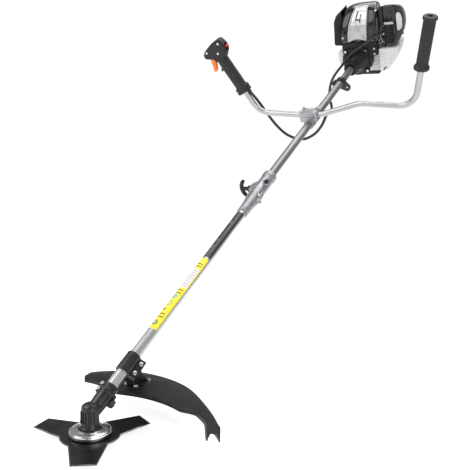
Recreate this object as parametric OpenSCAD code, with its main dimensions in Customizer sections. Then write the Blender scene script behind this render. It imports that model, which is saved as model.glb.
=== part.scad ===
// Petrol brush cutter: a three-tooth blade on a bevel gear head, a two-piece pole,
// a U-shaped handlebar with throttle grip and a small overhung engine.
// Every part is drawn in the pole frame: x across the pole, y along the pole from the
// gear head to the engine, z square to the pole and upwards, with the origin where the
// pole axis meets the blade axis. row_frame() tilts the pole to its working angle and
// moves the origin to the harness eye.

/* [Pole] */
// Angle of the pole above level ground, degrees
pole_angle = 32; // [28:1:36]
// Outside diameter of the pole tubes
pole_d = 26; // [25:0.5:27]
// Wall of the pole tubes
pole_wall = 1.5; // [1.2:0.1:1.8]

/* [Blade] */
// Diameter over the blade tips
blade_d = 255; // [230:1:256]
// Thickness of the blade
blade_t = 3; // [2:0.5:3]

/* [Handlebar] */
// Outside diameter of the handlebar tube
bar_d = 19; // [18:0.5:19]

/* [Guard] */
// Outside radius of the blade guard
guard_r = 230; // [224:1:238]

/* [Hidden] */
$fn = 64;
e = 0.02; // small extra length of a cutting tool
fit = 0.1; // radial clearance of a running fit

pole_r = pole_d / 2;
bore_r = pole_r - pole_wall;
bar_r = bar_d / 2;

// stations along the pole, measured from the blade axis
case_end = 72;
guard_s = [112, 159];
tube_start = 46;
coupling_s = [700, 897];
pin_s = 838;
knob_s = 822;
bush_s = [190, 410, 630, 990, 1190, 1390, 1590]; // three in the lower tube, four in the upper
lower_tube_end = 848;
upper_tube_start = 850;
clamp_s = 1242;
hanger_s = 1552;
engine_s = 1700;

// the harness eye: the hole in the hanger lug, turned outwards so that a hook hangs clear
eye = [23, hanger_s, -21];
eye_r = 4;
eye_turn = 10;

// heights along the blade axis, measured from the pole axis
blade_mid = -43;
blade_top = blade_mid + blade_t / 2;

module row_frame() {
  rotate([pole_angle, 0, 0]) translate(-eye) children();
}

// children drawn with the blade axis as z
module head_frame() {
  rotate([-pole_angle, 0, 0]) children();
}

// children drawn with z along the pole, starting s from the blade axis
module along(s) {
  translate([0, s, 0]) rotate([-90, 0, 0]) children();
}

// a tube or ring with z from 0 to length
module ring(outer_r, inner_r, length) {
  difference() {
    cylinder(r = outer_r, h = length);
    translate([0, 0, -1]) cylinder(r = inner_r, h = length + 2);
  }
}

// a box with its four edges along z rounded, centred in x and y
module rounded_block(size, r) {
  linear_extrude(size[2]) rounded_rect([size[0], size[1]], r);
}

module rounded_rect(size, r) {
  square([size[0] - 2 * r, size[1]], center = true);
  square([size[0], size[1] - 2 * r], center = true);
  for (x = [-1, 1], y = [-1, 1])
    translate([x * (size[0] / 2 - r), y * (size[1] / 2 - r)]) circle(r);
}

// a hexagon-headed bolt: head below z = 0, shank up to length
module hex_bolt(r, length) {
  translate([0, 0, -1.3 * r]) cylinder(r = 2 * r / cos(30), h = 1.3 * r, $fn = 6);
  cylinder(r = r, h = length);
}

// ---------------------------------------------------------------- cutting head

tooth_angles = [-52, 68, 188];
hub_r = 61;
tooth_root = [40, 39]; // radius where an arm starts, half its width there
tooth_tip_half = 24;

module blade() {
  tip_r = blade_d / 2;
  tip_x = sqrt(tip_r * tip_r - tooth_tip_half * tooth_tip_half);
  color("slategray") head_frame() translate([0, 0, blade_mid - blade_t / 2])
    linear_extrude(blade_t) difference() {
      union() {
        circle(hub_r);
        for (a = tooth_angles) rotate(a) polygon([
          [tooth_root[0], -tooth_root[1]],
          [tip_x, -tooth_tip_half],
          [tip_x, tooth_tip_half],
          [tooth_root[0], tooth_root[1]]
        ]);
      }
      circle(12.7);
    }
}

module blade_holder() {
  color("gainsboro") head_frame() rotate_extrude() polygon([
    [6, blade_top - 2.4], [12.6, blade_top - 2.4], [12.6, blade_top],
    [38, blade_top], [38, blade_top + 1.6], [43, blade_top + 1.6],
    [43, -33], [40, -30.5], [24.5, -26.5], [24.5, -31.5], [6, -31.5]
  ]);
}

module clamp_washer() {
  color("silver") head_frame() translate([0, 0, blade_top - blade_t - 5])
    ring(27, 6, 5);
}

module blade_nut() {
  color("dimgray") head_frame() translate([0, 0, blade_top - blade_t - 13])
    difference() {
      union() {
        cylinder(r = 10.5, h = 8, $fn = 6);
        translate([0, 0, 6]) cylinder(r = 11.5, h = 2);
      }
      translate([0, 0, -1]) cylinder(r = 6, h = 10);
    }
}

module output_spindle() {
  color("silver") head_frame() difference() {
    union() {
      translate([0, 0, -60]) cylinder(r = 6, h = 62);
      cylinder(r = 5, h = 19);
    }
    translate([0, 0, -60 - e]) cylinder(r = 2, h = 6);
  }
}

gear_half_angle = 34;
pinion_half_angle = 24;
gear_teeth = 22;
pinion_teeth = 16;
mesh_gap = 0.35;

// a straight bevel gear whose pitch cone has its point at the origin, between two
// distances along its axis, with tooth gaps cut in the cone
module bevel_gear(half_angle, teeth, start, end, hole_r) {
  r0 = start * tan(half_angle) - mesh_gap;
  r1 = end * tan(half_angle) - mesh_gap;
  difference() {
    translate([0, 0, start]) cylinder(r1 = r0, r2 = r1, h = end - start);
    translate([0, 0, start - 1]) cylinder(r = hole_r, h = end - start + 2);
    for (i = [0:teeth - 1]) rotate([0, 0, i * 360 / teeth])
      rotate([0, half_angle, 0]) translate([-0.7, -0.5, start]) cube([3, 1, 2 * end]);
  }
}

module output_gear() {
  color("dimgray") head_frame()
    bevel_gear(gear_half_angle, gear_teeth, 10.5, 19, 5);
}

module pinion_gear() {
  color("dimgray") along(0) difference() {
    union() {
      bevel_gear(pinion_half_angle, pinion_teeth, 12, 20, 0.5);
      translate([0, 0, 20]) cylinder(r = 5, h = 28);
    }
    translate([0, 0, 34]) cylinder(r = 4, h = 15);
  }
}

module lower_drive_shaft() {
  color("silver") along(34) cylinder(r = 4, h = lower_tube_end - 34);
}

case_r = 17.5;
bearing_r = 14;
pinion_bearing_r = 12;
case_bolt_x = -9; // pinch bolts that hold the case on the tube
case_bolt_s = [case_end - 22, case_end - 8];

module gear_case() {
  color("dimgray") difference() {
    union() {
      head_frame() {
        translate([0, 0, -27]) cylinder(r = case_r, h = 50);
        translate([0, 0, -30]) cylinder(r = 22.5, h = 6);
        translate([0, 0, -24]) cylinder(r1 = 22.5, r2 = case_r, h = 6);
        // anti-winding fin and grease boss
        translate([-26, -3, -25]) cube([10, 6, 8]);
        translate([-16, 0, -2]) rotate([0, -90, 0]) cylinder(r = 4, h = 7);
      }
      along(4) cylinder(r = 17, h = case_end - 4);
      along(case_end - 24) translate([16, 8, 0]) cylinder(r = 5.5, h = 20);
      translate([6, case_end - 36, -24]) cube([12, 16, 12]);
      translate([-10, case_end - 34, 9]) cylinder(r = 4, h = 12);
    }
    head_frame() translate([0, 0, -30 - e]) cylinder(r = bearing_r, h = 50);
    along(8) cylinder(r = pinion_bearing_r, h = tube_start - 8);
    along(tube_start) cylinder(r = pole_r, h = 60);
    for (s = case_bolt_s) translate([case_bolt_x, s, 11]) cylinder(r = 2.5, h = 12);
  }
}

module gear_bearings() {
  color("lightgray") {
    head_frame() for (z = [-28, -12]) translate([0, 0, z]) ring(bearing_r, 6 + fit, 9);
    for (s = [27, 36.5]) along(s) ring(pinion_bearing_r, 5 + fit, 8);
  }
}

// M6 bolts of the gear case clamp, the guard bracket and the guard
module head_bolts() {
  color("silver") {
    for (s = case_bolt_s) translate([case_bolt_x, s, case_r - 0.7])
      rotate([180, 0, 0]) hex_bolt(2.5, 5.8);
    for (s = clamp_bolt_s) clamp_frame() translate([clamp_bolt_x, s, clamp_ear])
      rotate([180, 0, 0]) hex_bolt(3, 2 * clamp_ear + 2);
    head_frame() for (p = bracket_bolts) translate([p[0], p[1], guard_top + guard_t + foot_t])
      rotate([180, 0, 0]) hex_bolt(3, 12);
  }
}

module lower_tube() {
  color("silver") along(tube_start) difference() {
    ring(pole_r, bore_r, lower_tube_end - tube_start);
    translate([0, 0, pin_s - tube_start]) rotate([0, 90, -45])
      cylinder(r = 4.2, h = 20);
  }
}

// nylon bushes that carry the drive shafts, all alike
module shaft_bushes() {
  color("ivory") for (s = bush_s) along(s) ring(bore_r, 4 + fit, 22);
}

// ---------------------------------------------------------------- blade guard

guard_top = 9; // underside of the guard's top plate above the pole axis
guard_t = 3;
guard_angles = [17, 138];
guard_low = -40; // below the lowest point of the skirt
bracket_bolts = [[-20, 134], [6, 134], [6, 178], [-20, 178]];
foot_t = 4; // foot of the bracket on the guard
clamp_turn = 35; // turn of the clamp's split plane about the tube
clamp_ear = 5; // thickness of each ear
clamp_ear_end = 31; // reach of the ears from the tube's axis
clamp_bolt_x = 24;
clamp_bolt_s = [guard_s[0] + 10, guard_s[1] - 12];

// radius of the guard's outer edge at an angle around the blade axis: it
// swells towards the right-hand end and draws in to a cut corner at the left
function guard_outer(a) = a < 54 ? guard_r + 0.03 * (54 - a) * (54 - a)
  : guard_r - 0.012 * max(0, a - 100) * max(0, a - 100) - 5 * max(0, a - 134);

// radius of its inner edge
function guard_inner(a) = a > 108 ? 104 + 2.3 * (a - 108)
  : 104 + 0.0142 * (108 - a) * (108 - a) + 22 * min(1, max(0, (36 - a) / 6));

// plan of the guard between two angles, drawn in by a margin on each side
module guard_plan(start, outer_margin, inner_margin) {
  angles = [for (i = [0:24]) start + i * (guard_angles[1] - start) / 24];
  polygon(concat(
    [for (a = angles) (guard_outer(a) - outer_margin) * [cos(a), sin(a)]],
    [for (i = [24:-1:0])
      (guard_inner(angles[i]) + inner_margin) * [cos(angles[i]), sin(angles[i])]]
  ));
}

// everything under the skirt's lower edge, which dips to the right and lifts
// again at the right-hand end
module below_guard() {
  rotate([90, 0, 0]) translate([0, 0, -300]) linear_extrude(400) polygon([
    [-260, 5.4], [190, -33], [290, -16.5], [290, -90], [-260, -90]
  ]);
}

module guard() {
  depth = guard_top - guard_low;
  color([0.15, 0.15, 0.16]) head_frame() difference() {
    translate([0, 0, guard_low]) linear_extrude(depth + guard_t)
      guard_plan(guard_angles[0], 0, 0);
    // hollow, closed by a web at the right-hand end
    translate([0, 0, guard_low - 1]) linear_extrude(depth + 1)
      guard_plan(guard_angles[0] + 1, guard_t, guard_t);
    // the inner lip is shallow, the outer skirt deep
    translate([0, 0, guard_low - 1]) linear_extrude(depth - 7)
      guard_plan(guard_angles[0] + 5, guard_t + 1, -12);
    below_guard();
    for (p = bracket_bolts) translate([p[0], p[1], guard_top - 1])
      cylinder(r = 3, h = guard_t + 2);
  }
}

// z up square to the clamp's split plane, x towards its ears
module clamp_frame() {
  rotate([0, clamp_turn, 0]) children();
}

// one half of the split sleeve with its ear, on the side named by up: 1 or -1
module clamp_half(up) {
  length = guard_s[1] - guard_s[0];
  clamp_frame() difference() {
    union() {
      along(guard_s[0]) cylinder(r = pole_r + 4, h = length);
      translate([10, guard_s[0], -clamp_ear]) cube([clamp_ear_end - 10, length, 2 * clamp_ear]);
    }
    translate([-40, guard_s[0] - 1, up > 0 ? -40 : 0]) cube([80, length + 2, 40]);
    along(guard_s[0] - 1) cylinder(r = pole_r, h = length + 2);
    for (s = clamp_bolt_s) translate([clamp_bolt_x, s, -12]) cylinder(r = 3, h = 24);
  }
}

module guard_bracket() {
  color([0.12, 0.12, 0.13]) difference() {
    union() {
      clamp_half(-1);
      // foot on the guard and the block that carries it
      head_frame() {
        translate([-28, 126, guard_top + guard_t]) cube([42, 60, foot_t]);
        translate([-12, 0, 0]) rotate([90, 0, 90]) linear_extrude(10) polygon([
          [107, 51], [130, guard_top + guard_t + 1], [180, guard_top + guard_t + 1], [138, 69]
        ]);
      }
    }
    head_frame() for (p = bracket_bolts) translate([p[0], p[1], 0]) cylinder(r = 3, h = 40);
  }
}

module guard_clamp_cap() {
  color([0.12, 0.12, 0.13]) clamp_half(1);
}

// ---------------------------------------------------------------- pole coupling

module coupling_body() {
  length = coupling_s[1] - coupling_s[0];
  color("lightgray") difference() {
    union() {
      along(coupling_s[0]) rotate_extrude() polygon([
        [0, 0], [16, 0], [16.5, 30], [19, 60], [19.5, length - 18], [21, length - 16],
        [21, length - 2], [20, length], [0, length]
      ]);
      // boss of the clamping knob
      translate([-27, knob_s, 0]) rotate([0, 90, 0]) cylinder(r = 10, h = 20);
      // seat of the lock pin
      translate([0, pin_s, 0]) rotate([0, 45, 0]) translate([0, 0, 14])
        cylinder(r = 8, h = 9);
    }
    along(coupling_s[0] - 1) cylinder(r = pole_r + fit, h = upper_tube_start - coupling_s[0] + 1);
    along(coupling_s[0] + 90) cylinder(r = pole_r, h = length);
    // slit that lets the clamp close
    translate([-24, coupling_s[0] - 1, -1.5]) cube([14, 90, 3]);
    translate([-40, knob_s, 0]) rotate([0, 90, 0]) cylinder(r = 4 + fit, h = 30);
    translate([0, pin_s, 0]) rotate([0, 45, 0]) cylinder(r = 4 + fit, h = 40);
  }
}

knob_wing = [9, 15, 60];

module coupling_knob() {
  color([0.1, 0.1, 0.1]) translate([0, knob_s, 0]) {
    translate([-30, 0, 0]) rotate([0, 90, 0]) cylinder(r = 4, h = 14);
    translate([-37, 0, 0]) rotate([0, 90, 0]) cylinder(r = 9, h = 8, $fn = 6);
    translate([-58, 0, 0]) rotate([0, 90, 0]) cylinder(r = 5.5, h = 22);
    translate([-57, 0, 0]) cube(knob_wing, center = true);
  }
}

module lock_pin() {
  color([0.1, 0.1, 0.1]) translate([0, pin_s, 0]) rotate([0, 45, 0]) {
    translate([0, 0, bore_r - 1]) cylinder(r = 4, h = 14);
    translate([0, 0, 24]) cylinder(r = 6.5, h = 5);
  }
}

module upper_tube() {
  color("darkgray") along(upper_tube_start) ring(pole_r, bore_r, engine_s - upper_tube_start);
}

module upper_drive_shaft() {
  color("silver") difference() {
    union() {
      along(815) cylinder(r = 7, h = 50);
      along(860) cylinder(r = 4, h = engine_s + 24 - 860);
    }
    along(814) cylinder(r = 4 + fit, h = 40);
  }
}

// ---------------------------------------------------------------- swept tubes

function unit(v) = v / norm(v);

// directions across a route at point i, both square to the route
function across(path, i, ref) =
  let (last = len(path) - 1)
  let (t = unit(path[min(i + 1, last)] - path[max(i - 1, 0)]))
  let (a = unit(cross(t, ref)))
  [a, cross(t, a)];

function round_ring(path, i, ref, r, sides) =
  let (d = across(path, i, ref))
  [for (k = [0:sides - 1]) path[i] + r * (cos(k * 360 / sides) * d[0] + sin(k * 360 / sides) * d[1])];

// one solid rod swept along a route
module swept_rod(path, r, sides, ref) {
  last = len(path) - 1;
  polyhedron(
    points = [for (i = [0:last]) each round_ring(path, i, ref, r, sides)],
    faces = concat(
      [[for (k = [0:sides - 1]) k]],
      [for (i = [0:last - 1], k = [0:sides - 1])
        let (n = (k + 1) % sides)
        [i * sides + k, (i + 1) * sides + k, (i + 1) * sides + n, i * sides + n]],
      [[for (k = [sides - 1:-1:0]) last * sides + k]]
    )
  );
}

// one open-ended tube swept along a route: an outer ring and an inner ring at each point
module swept_tube(path, outer_r, inner_r, sides) {
  last = len(path) - 1;
  step = 2 * sides;
  polyhedron(
    points = [for (i = [0:last]) each concat(
      round_ring(path, i, [0, 1, 0], outer_r, sides),
      round_ring(path, i, [0, 1, 0], inner_r, sides))],
    faces = concat(
      [for (i = [0:last - 1], k = [0:sides - 1])
        let (n = (k + 1) % sides)
        [i * step + k, (i + 1) * step + k, (i + 1) * step + n, i * step + n]],
      [for (i = [0:last - 1], k = [0:sides - 1])
        let (n = (k + 1) % sides)
        [i * step + sides + n, (i + 1) * step + sides + n, (i + 1) * step + sides + k,
          i * step + sides + k]],
      [for (k = [0:sides - 1])
        let (n = (k + 1) % sides)
        [k, n, sides + n, sides + k]],
      [for (k = [0:sides - 1])
        let (n = (k + 1) % sides)
        [last * step + n, last * step + k, last * step + sides + k, last * step + sides + n]]
    )
  );
}

// ---------------------------------------------------------------- handlebar clamp

bar_z = pole_r + 4 + bar_r;
clamp_bolts_at = [for (x = [-24, 24], y = [-15, 15]) [x, y]];

module handle_saddle() {
  color("silver") translate([0, clamp_s, 0]) difference() {
    union() {
      translate([0, 0, 8]) rounded_block([62, 42, bar_z - 8.4], 6);
      translate([0, -21, 0]) rotate([-90, 0, 0]) cylinder(r = pole_r + 5, h = 42);
    }
    translate([0, -30, 0]) rotate([-90, 0, 0]) cylinder(r = pole_r, h = 60);
    translate([-40, 0, bar_z]) rotate([0, 90, 0]) cylinder(r = bar_r + fit, h = 80);
    for (p = clamp_bolts_at) translate([p[0], p[1], 0]) cylinder(r = 3, h = 60);
  }
}

module handle_cap() {
  color("silver") translate([0, clamp_s, 0]) difference() {
    translate([0, 0, bar_z + 0.4]) rounded_block([62, 42, bar_r + 4], 6);
    translate([-40, 0, bar_z]) rotate([0, 90, 0]) cylinder(r = bar_r + fit, h = 80);
    for (p = clamp_bolts_at) translate([p[0], p[1], 0]) cylinder(r = 3, h = 60);
  }
}

// M6 bolts of the handlebar clamp and of the hanger
module clamp_bolts() {
  color("gainsboro") {
    for (p = clamp_bolts_at) translate([p[0], clamp_s + p[1], bar_z + bar_r + 4.4])
      rotate([180, 0, 0]) hex_bolt(3, 27);
    translate([-hanger_ear_x, hanger_s, 8]) rotate([180, 0, 0]) hex_bolt(3, 16);
  }
}

// corner points of the handlebar in the plane across the pole, and its bend radii
bar_points = [[-278, 228], [-190, 38], [-42, bar_z], [42, bar_z], [180, 64], [353, 50],
  [411, 304]];
bar_bends = [0, 62, 60, 60, 60, 55, 0];
bar_wall = 1.5;

function turn_side(a, b) = sign(a[0] * b[1] - a[1] * b[0]);
// length cut off each leg by the bend at corner i
function bend_leg(i) = i == 0 || i == len(bar_points) - 1 ? 0
  : bar_bends[i] * tan(bend_angle(i) / 2);
function bend_angle(i) = acos(unit(bar_points[i] - bar_points[i - 1])
  * unit(bar_points[i + 1] - bar_points[i]));

// points along the bend at corner i
function bend_arc(i) =
  let (d = unit(bar_points[i] - bar_points[i - 1]))
  let (side = turn_side(d, unit(bar_points[i + 1] - bar_points[i])))
  let (centre = bar_points[i] - d * bend_leg(i) + side * bar_bends[i] * [-d[1], d[0]])
  let (first = atan2(-side * d[0], side * d[1]))
  let (steps = ceil(bend_angle(i) / 11))
  [for (k = [0:steps]) centre
    + bar_bends[i] * [cos(first + side * bend_angle(i) * k / steps),
      sin(first + side * bend_angle(i) * k / steps)]];

bar_path = concat(
  [bar_points[0]],
  [for (i = [1:len(bar_points) - 2]) each bend_arc(i)],
  [bar_points[len(bar_points) - 1]]
);

module handlebar() {
  color("gainsboro") translate([0, clamp_s, 0])
    swept_tube([for (p = bar_path) [p[0], 0, p[1]]], bar_r, bar_r - bar_wall, 24);
}

// children drawn with z up the axis of a grip, starting at a distance along it
module on_grip(side, distance) {
  last = len(bar_points) - 1;
  a = side < 0 ? bar_points[1] : bar_points[last - 1];
  b = side < 0 ? bar_points[0] : bar_points[last];
  d = unit(b - a);
  p = a + d * distance;
  translate([p[0], clamp_s, p[1]]) rotate([0, 90 - atan2(d[1], d[0]), 0]) children();
}

module plain_grip() {
  length = 157;
  color([0.1, 0.1, 0.1]) on_grip(1, 122) difference() {
    union() {
      cylinder(r = 23, h = 12);
      cylinder(r = 18, h = length);
      translate([0, 0, length - 10]) cylinder(r = 21, h = 10);
    }
    translate([0, 0, -1]) cylinder(r = bar_r, h = norm(bar_points[6] - bar_points[5]) - 121);
  }
}

grip_start = 96; // distance of the throttle grip's start from the corner
grip_length = 130;
grip_half = 17; // half the thickness of the head
head_outline = [[-20, 128], [-22, 141], [-45, 153], [-51, 158], [-52, 165], [-50, 172],
  [-38, 179], [-24, 183], [4, 189], [28, 190], [39, 187], [44, 172], [46, 162], [40, 142],
  [26, 134], [20, 128]];
trigger_pivot = [-28, 158];
lockout_pivot = [-14, 106];
lever_pin_r = 2;

// a pin or its hole across the head, centred on a point of the head's outline plane
module cross_pin(p, r, length) {
  translate([p[0], 0, p[1]]) rotate([90, 0, 0]) cylinder(r = r, h = length, center = true);
}

// both halves of the throttle housing: y below 0 is the front half
module throttle_shell() {
  bar_end = norm(bar_points[1] - bar_points[0]) - grip_start;
  difference() {
    union() {
      translate([0, 0, -8]) cylinder(r = 26, h = 22);
      cylinder(r = 20, h = grip_length);
      rotate([90, 0, 0]) translate([0, 0, -grip_half]) linear_extrude(2 * grip_half)
        polygon(head_outline);
    }
    translate([0, 0, -9]) cylinder(r = bar_r, h = bar_end + 9);
    // room for the trigger
    translate([-48, -8, 126]) cube([36, 16, 46]);
    // room for the lockout lever and its pivot
    translate([-26, -5, 88]) cube([15.8, 10, 24]);
    cross_pin(lockout_pivot, lever_pin_r + fit, 18);
    // room for the stop switch
    translate([28, -6, 144]) cube([24, 12, 22]);
    // passage of the throttle cable
    translate([14, 4, -9]) cylinder(r = cable_r + 0.6, h = 60);
  }
  cross_pin(trigger_pivot, lever_pin_r, 2 * grip_half - 4);
}

module throttle_housing_front() {
  color([0.1, 0.1, 0.1]) on_grip(-1, grip_start) intersection() {
    throttle_shell();
    translate([-100, -40, -10]) cube([160, 40, 220]);
  }
}

module throttle_housing_back() {
  color([0.12, 0.12, 0.12]) on_grip(-1, grip_start) intersection() {
    throttle_shell();
    translate([-100, 0, -10]) cube([160, 40, 220]);
  }
}

module throttle_trigger() {
  color([0.95, 0.4, 0.1]) on_grip(-1, grip_start) rotate([90, 0, 0])
    translate([0, 0, -6]) difference() {
      union() {
        translate(trigger_pivot) cylinder(r = 6, h = 12);
        linear_extrude(12) polygon([[-34, 160], [-21, 152], [-29, 132], [-39, 114], [-47, 104],
          [-54, 102], [-57, 106], [-51, 119], [-45, 136], [-40, 148]]);
      }
      translate([trigger_pivot[0], trigger_pivot[1], -1])
        cylinder(r = lever_pin_r + fit, h = 14);
    }
}

module lockout_lever() {
  color([0.08, 0.08, 0.08]) on_grip(-1, grip_start) {
    cross_pin(lockout_pivot, lever_pin_r, 17);
    rotate([90, 0, 0]) translate([0, 0, -4]) linear_extrude(8) {
      translate(lockout_pivot) circle(3);
      polygon([[-14, 109], [-22, 105], [-28, 100], [-31, 95], [-30, 91], [-26, 91],
        [-22, 96], [-14, 103]]);
    }
  }
}

module stop_switch() {
  color([0.75, 0.1, 0.1]) on_grip(-1, grip_start) translate([28.3, -5.7, 150])
    cube([21.7, 11.4, 10]);
}

// ---------------------------------------------------------------- throttle cable

cable_r = 4;
cable_sides = 10;
// hand-chosen points of the cable's route, from the throttle grip down behind the
// handlebar, under the pole and over the clutch housing to the carburettor
cable_points = [
  [-226, 1246, 149], [-218, 1246, 131], [-212, 1246, 119], [-206, 1249, 104],
  [-197, 1256, 80], [-187, 1263, 50], [-174, 1270, 12], [-154, 1276, -32],
  [-128, 1279, -66], [-96, 1280, -85], [-66, 1280, -90], [-38, 1279, -82], [-4, 1277, -60], [24, 1276, -28],
  [40, 1279, 0], [46, 1294, 8], [42, 1320, 2], [30, 1360, -14], [10, 1410, -23],
  [-14, 1460, -24], [-32, 1510, -15], [-42, 1570, 0], [-42, 1625, 8],
  [-36, 1668, 14], [-24, 1700, 29], [-2, 1723, 47], [28, 1737, 62],
  [62, 1741, 82], [90, 1743, 96], [104, 1752, 100], [107, 1768, 100], [107, 1783, 100]
];

// Catmull-Rom curve through the route's points
function spline_point(p, i, t) =
  let (a = p[max(i - 1, 0)], b = p[i], c = p[i + 1], d = p[min(i + 2, len(p) - 1)])
  0.5 * (2 * b + (c - a) * t + (2 * a - 5 * b + 4 * c - d) * t * t
    + (3 * b - a - 3 * c + d) * t * t * t);
function spline(p, steps) = concat(
  [for (i = [0:len(p) - 2], k = [0:steps - 1]) spline_point(p, i, k / steps)],
  [p[len(p) - 1]]);

module throttle_cable() {
  color([0.08, 0.08, 0.08]) swept_rod(spline(cable_points, 2), cable_r, cable_sides, [0.2, 0.1, 1]);
}

// ---------------------------------------------------------------- harness hanger

hanger_ear_x = 24;
hanger_w = 18;

// z along the harness eye's axis, towards the engine
module eye_frame() {
  translate(eye) rotate([0, 0, eye_turn]) rotate([-90, 0, 0]) children();
}

module hanger_clamp() {
  color([0.1, 0.1, 0.1]) difference() {
    union() {
      along(hanger_s - hanger_w / 2) cylinder(r = pole_r + 6.5, h = hanger_w);
      // lug with the harness eye
      eye_frame() translate([0, 0, -4]) linear_extrude(8) {
        circle(13);
        polygon([[-32, -4], [-4, -27], [11, -7], [-10, 9]]);
      }
      // ears of the clamp
      translate([-hanger_ear_x - 7, hanger_s - hanger_w / 2, -8]) cube([16, hanger_w, 16]);
    }
    along(hanger_s - 20) cylinder(r = pole_r, h = 40);
    translate([-40, hanger_s - 20, -1]) cube([30, 40, 2]);
    eye_frame() translate([0, 0, -20]) cylinder(r = eye_r, h = 40);
    translate([-hanger_ear_x, hanger_s, -10]) cylinder(r = 3, h = 20);
  }
}

// ---------------------------------------------------------------- clutch and fan end

flange_s = 1748;
flange_half = 50;
flange_bolt = 41;
cover_s = 1756;
crankcase_s = 1788;

module clutch_housing() {
  collar = 1669;
  cone_end = flange_s - collar;
  color([0.1, 0.1, 0.1]) difference() {
    union() {
      along(collar) rotate_extrude() polygon([
        [0, 0], [22, 0], [24, 2], [24, 31], [flange_half - 1, cone_end], [0, cone_end]
      ]);
      along(flange_s) rounded_block([2 * flange_half, 2 * flange_half, cover_s - flange_s], 12);
    }
    along(collar - 1) cylinder(r = pole_r, h = engine_s - collar + 1);
    along(engine_s - 1) cylinder(r = 8 + fit, h = 60);
    along(1714) cylinder(r1 = 22, r2 = 43, h = flange_s - 1714 - 5);
    along(flange_s - 5 - e) cylinder(r = 43, h = 20);
    for (x = [-1, 1], z = [-1, 1])
      along(flange_s - 1) translate([x * flange_bolt, z * flange_bolt, 0])
        cylinder(r = 2.5, h = 20);
  }
}

// M5 bolts of the clutch housing, the engine cover and the starter
module engine_bolts() {
  color("gainsboro") {
    for (x = [-1, 1], z = [-1, 1]) along(flange_s)
      translate([x * flange_bolt, z * flange_bolt, 0]) hex_bolt(2.5, 18);
    for (x = [-1, 1], z = [-1, 1])
      translate([x * starter_bolt, starter_end, z * starter_bolt])
        rotate([90, 0, 0]) hex_bolt(2.5, 12);
  }
}

module clutch_drum() {
  color("silver") difference() {
    union() {
      along(1702) cylinder(r = 8, h = 40);
      along(1741) cylinder(r = 39, h = 20);
    }
    along(1700) cylinder(r = 4, h = 24);
    along(1744) cylinder(r = 36, h = 20);
  }
}

shoe_pin_x = 22;

module clutch_shoes() {
  color("dimgray") difference() {
    along(1746) ring(35.5, 12, 12);
    translate([-4, 1740, -50]) cube([8, 30, 100]);
    for (x = [-1, 1]) along(1740) translate([x * shoe_pin_x, 0, 0])
      cylinder(r = 4, h = 30);
  }
}

flywheel_s = 1777;

module flywheel() {
  blades = 14;
  color("lightgray") difference() {
    union() {
      along(flywheel_s) cylinder(r = 48, h = 6);
      along(1764) cylinder(r = 14, h = 20);
      for (x = [-1, 1]) along(1747) translate([x * shoe_pin_x, 0, 0])
        cylinder(r = 4, h = 30);
      along(1766) for (i = [0:blades - 1]) rotate([0, 0, i * 360 / blades])
        translate([24, -1, 0]) cube([23.5, 2, 12]);
      along(1762) ring(28, 10, 3);
    }
    along(1755) cylinder(r = 7, h = 40);
  }
}

throw = 14;

module crankshaft() {
  color("silver") {
    along(1756) cylinder(r = 7, h = 30);
    along(1786) cylinder(r = 7, h = 16);
    for (s = [1802, 1819]) along(s) cylinder(r = 26, h = 7);
    along(1808) translate([0, -throw, 0]) cylinder(r = 6, h = 12);
    along(1825) cylinder(r = 7, h = 41);
  }
}

cylinder_s = 1814;
cylinder_base = 36;
cylinder_top = 128;
piston_r = 17.5;

module piston() {
  color("lightgray") translate([0, cylinder_s, 66]) difference() {
    cylinder(r = piston_r - fit, h = 26);
    translate([0, 0, -1]) cylinder(r = piston_r - 3, h = 21);
    translate([0, 0, 9]) rotate([0, 90, 0]) cylinder(r = 4, h = 60, center = true);
    for (z = [19, 22.5]) translate([0, 0, z]) ring(piston_r + 1, piston_r - 1.2, 1.2);
  }
}

module cylinder_body() {
  cylinder(r = 25, h = cylinder_top - cylinder_base);
  for (i = [0:11]) translate([0, 0, 14 + i * 6.2])
    rounded_block([76, 68, 2.4], 8);
  // inlet and exhaust stubs
  translate([-57, 0, 40]) rotate([0, 90, 0]) cylinder(r = 13, h = 43);
  translate([18, 0, 34]) rotate([0, 90, 0]) cylinder(r = 12, h = 24);
}

module cylinder_node() {
  color("lightgray") translate([0, cylinder_s, cylinder_base]) difference() {
    cylinder_body();
    translate([0, 0, -1]) cylinder(r = piston_r, h = cylinder_top - cylinder_base - 8);
    translate([-60, 0, 40]) rotate([0, 90, 0]) cylinder(r = 7, h = 60);
    translate([0, 0, 34]) rotate([0, 90, 0]) cylinder(r = 6, h = 60);
    cylinder(r = 5, h = 200);
  }
}

module spark_plug() {
  color("ivory") translate([0, cylinder_s, cylinder_top - 12]) {
    cylinder(r = 5, h = 14);
    translate([0, 0, 12]) cylinder(r = 9, h = 8, $fn = 6);
    translate([0, 0, 20]) cylinder(r1 = 6, r2 = 4, h = 20);
    translate([0, 0, 40]) cylinder(r = 3, h = 6);
  }
}

module crankcase() {
  length = 54;
  color("gray") difference() {
    union() {
      along(crankcase_s) rounded_block([84, 72, length], 10);
      translate([0, cylinder_s, 30]) rounded_block([64, 50, 6], 6);
    }
    translate([0, cylinder_s, 0]) cylinder(r = piston_r + 2, h = 60);
    along(1800) cylinder(r = 28, h = 28);
    along(crankcase_s - 1) cylinder(r = 7 + fit, h = length + 2);
  }
}

module fan_cover() {
  color([0.1, 0.1, 0.1]) difference() {
    along(cover_s) linear_extrude(crankcase_s - cover_s) {
      circle(60);
      translate([-54, -76]) square([138, 60]);
    }
    along(cover_s - 1) cylinder(r = 43, h = 6);
    along(cover_s + 4) cylinder(r = 54, h = 60);
    // air passage to the cylinder
    translate([-44, cover_s + 4, 30]) cube([118, 60, 60]);
    for (x = [-1, 1], z = [-1, 1]) along(cover_s - 1)
      translate([x * flange_bolt, z * flange_bolt, 0]) cylinder(r = 2.5, h = 20);
  }
}

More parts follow.
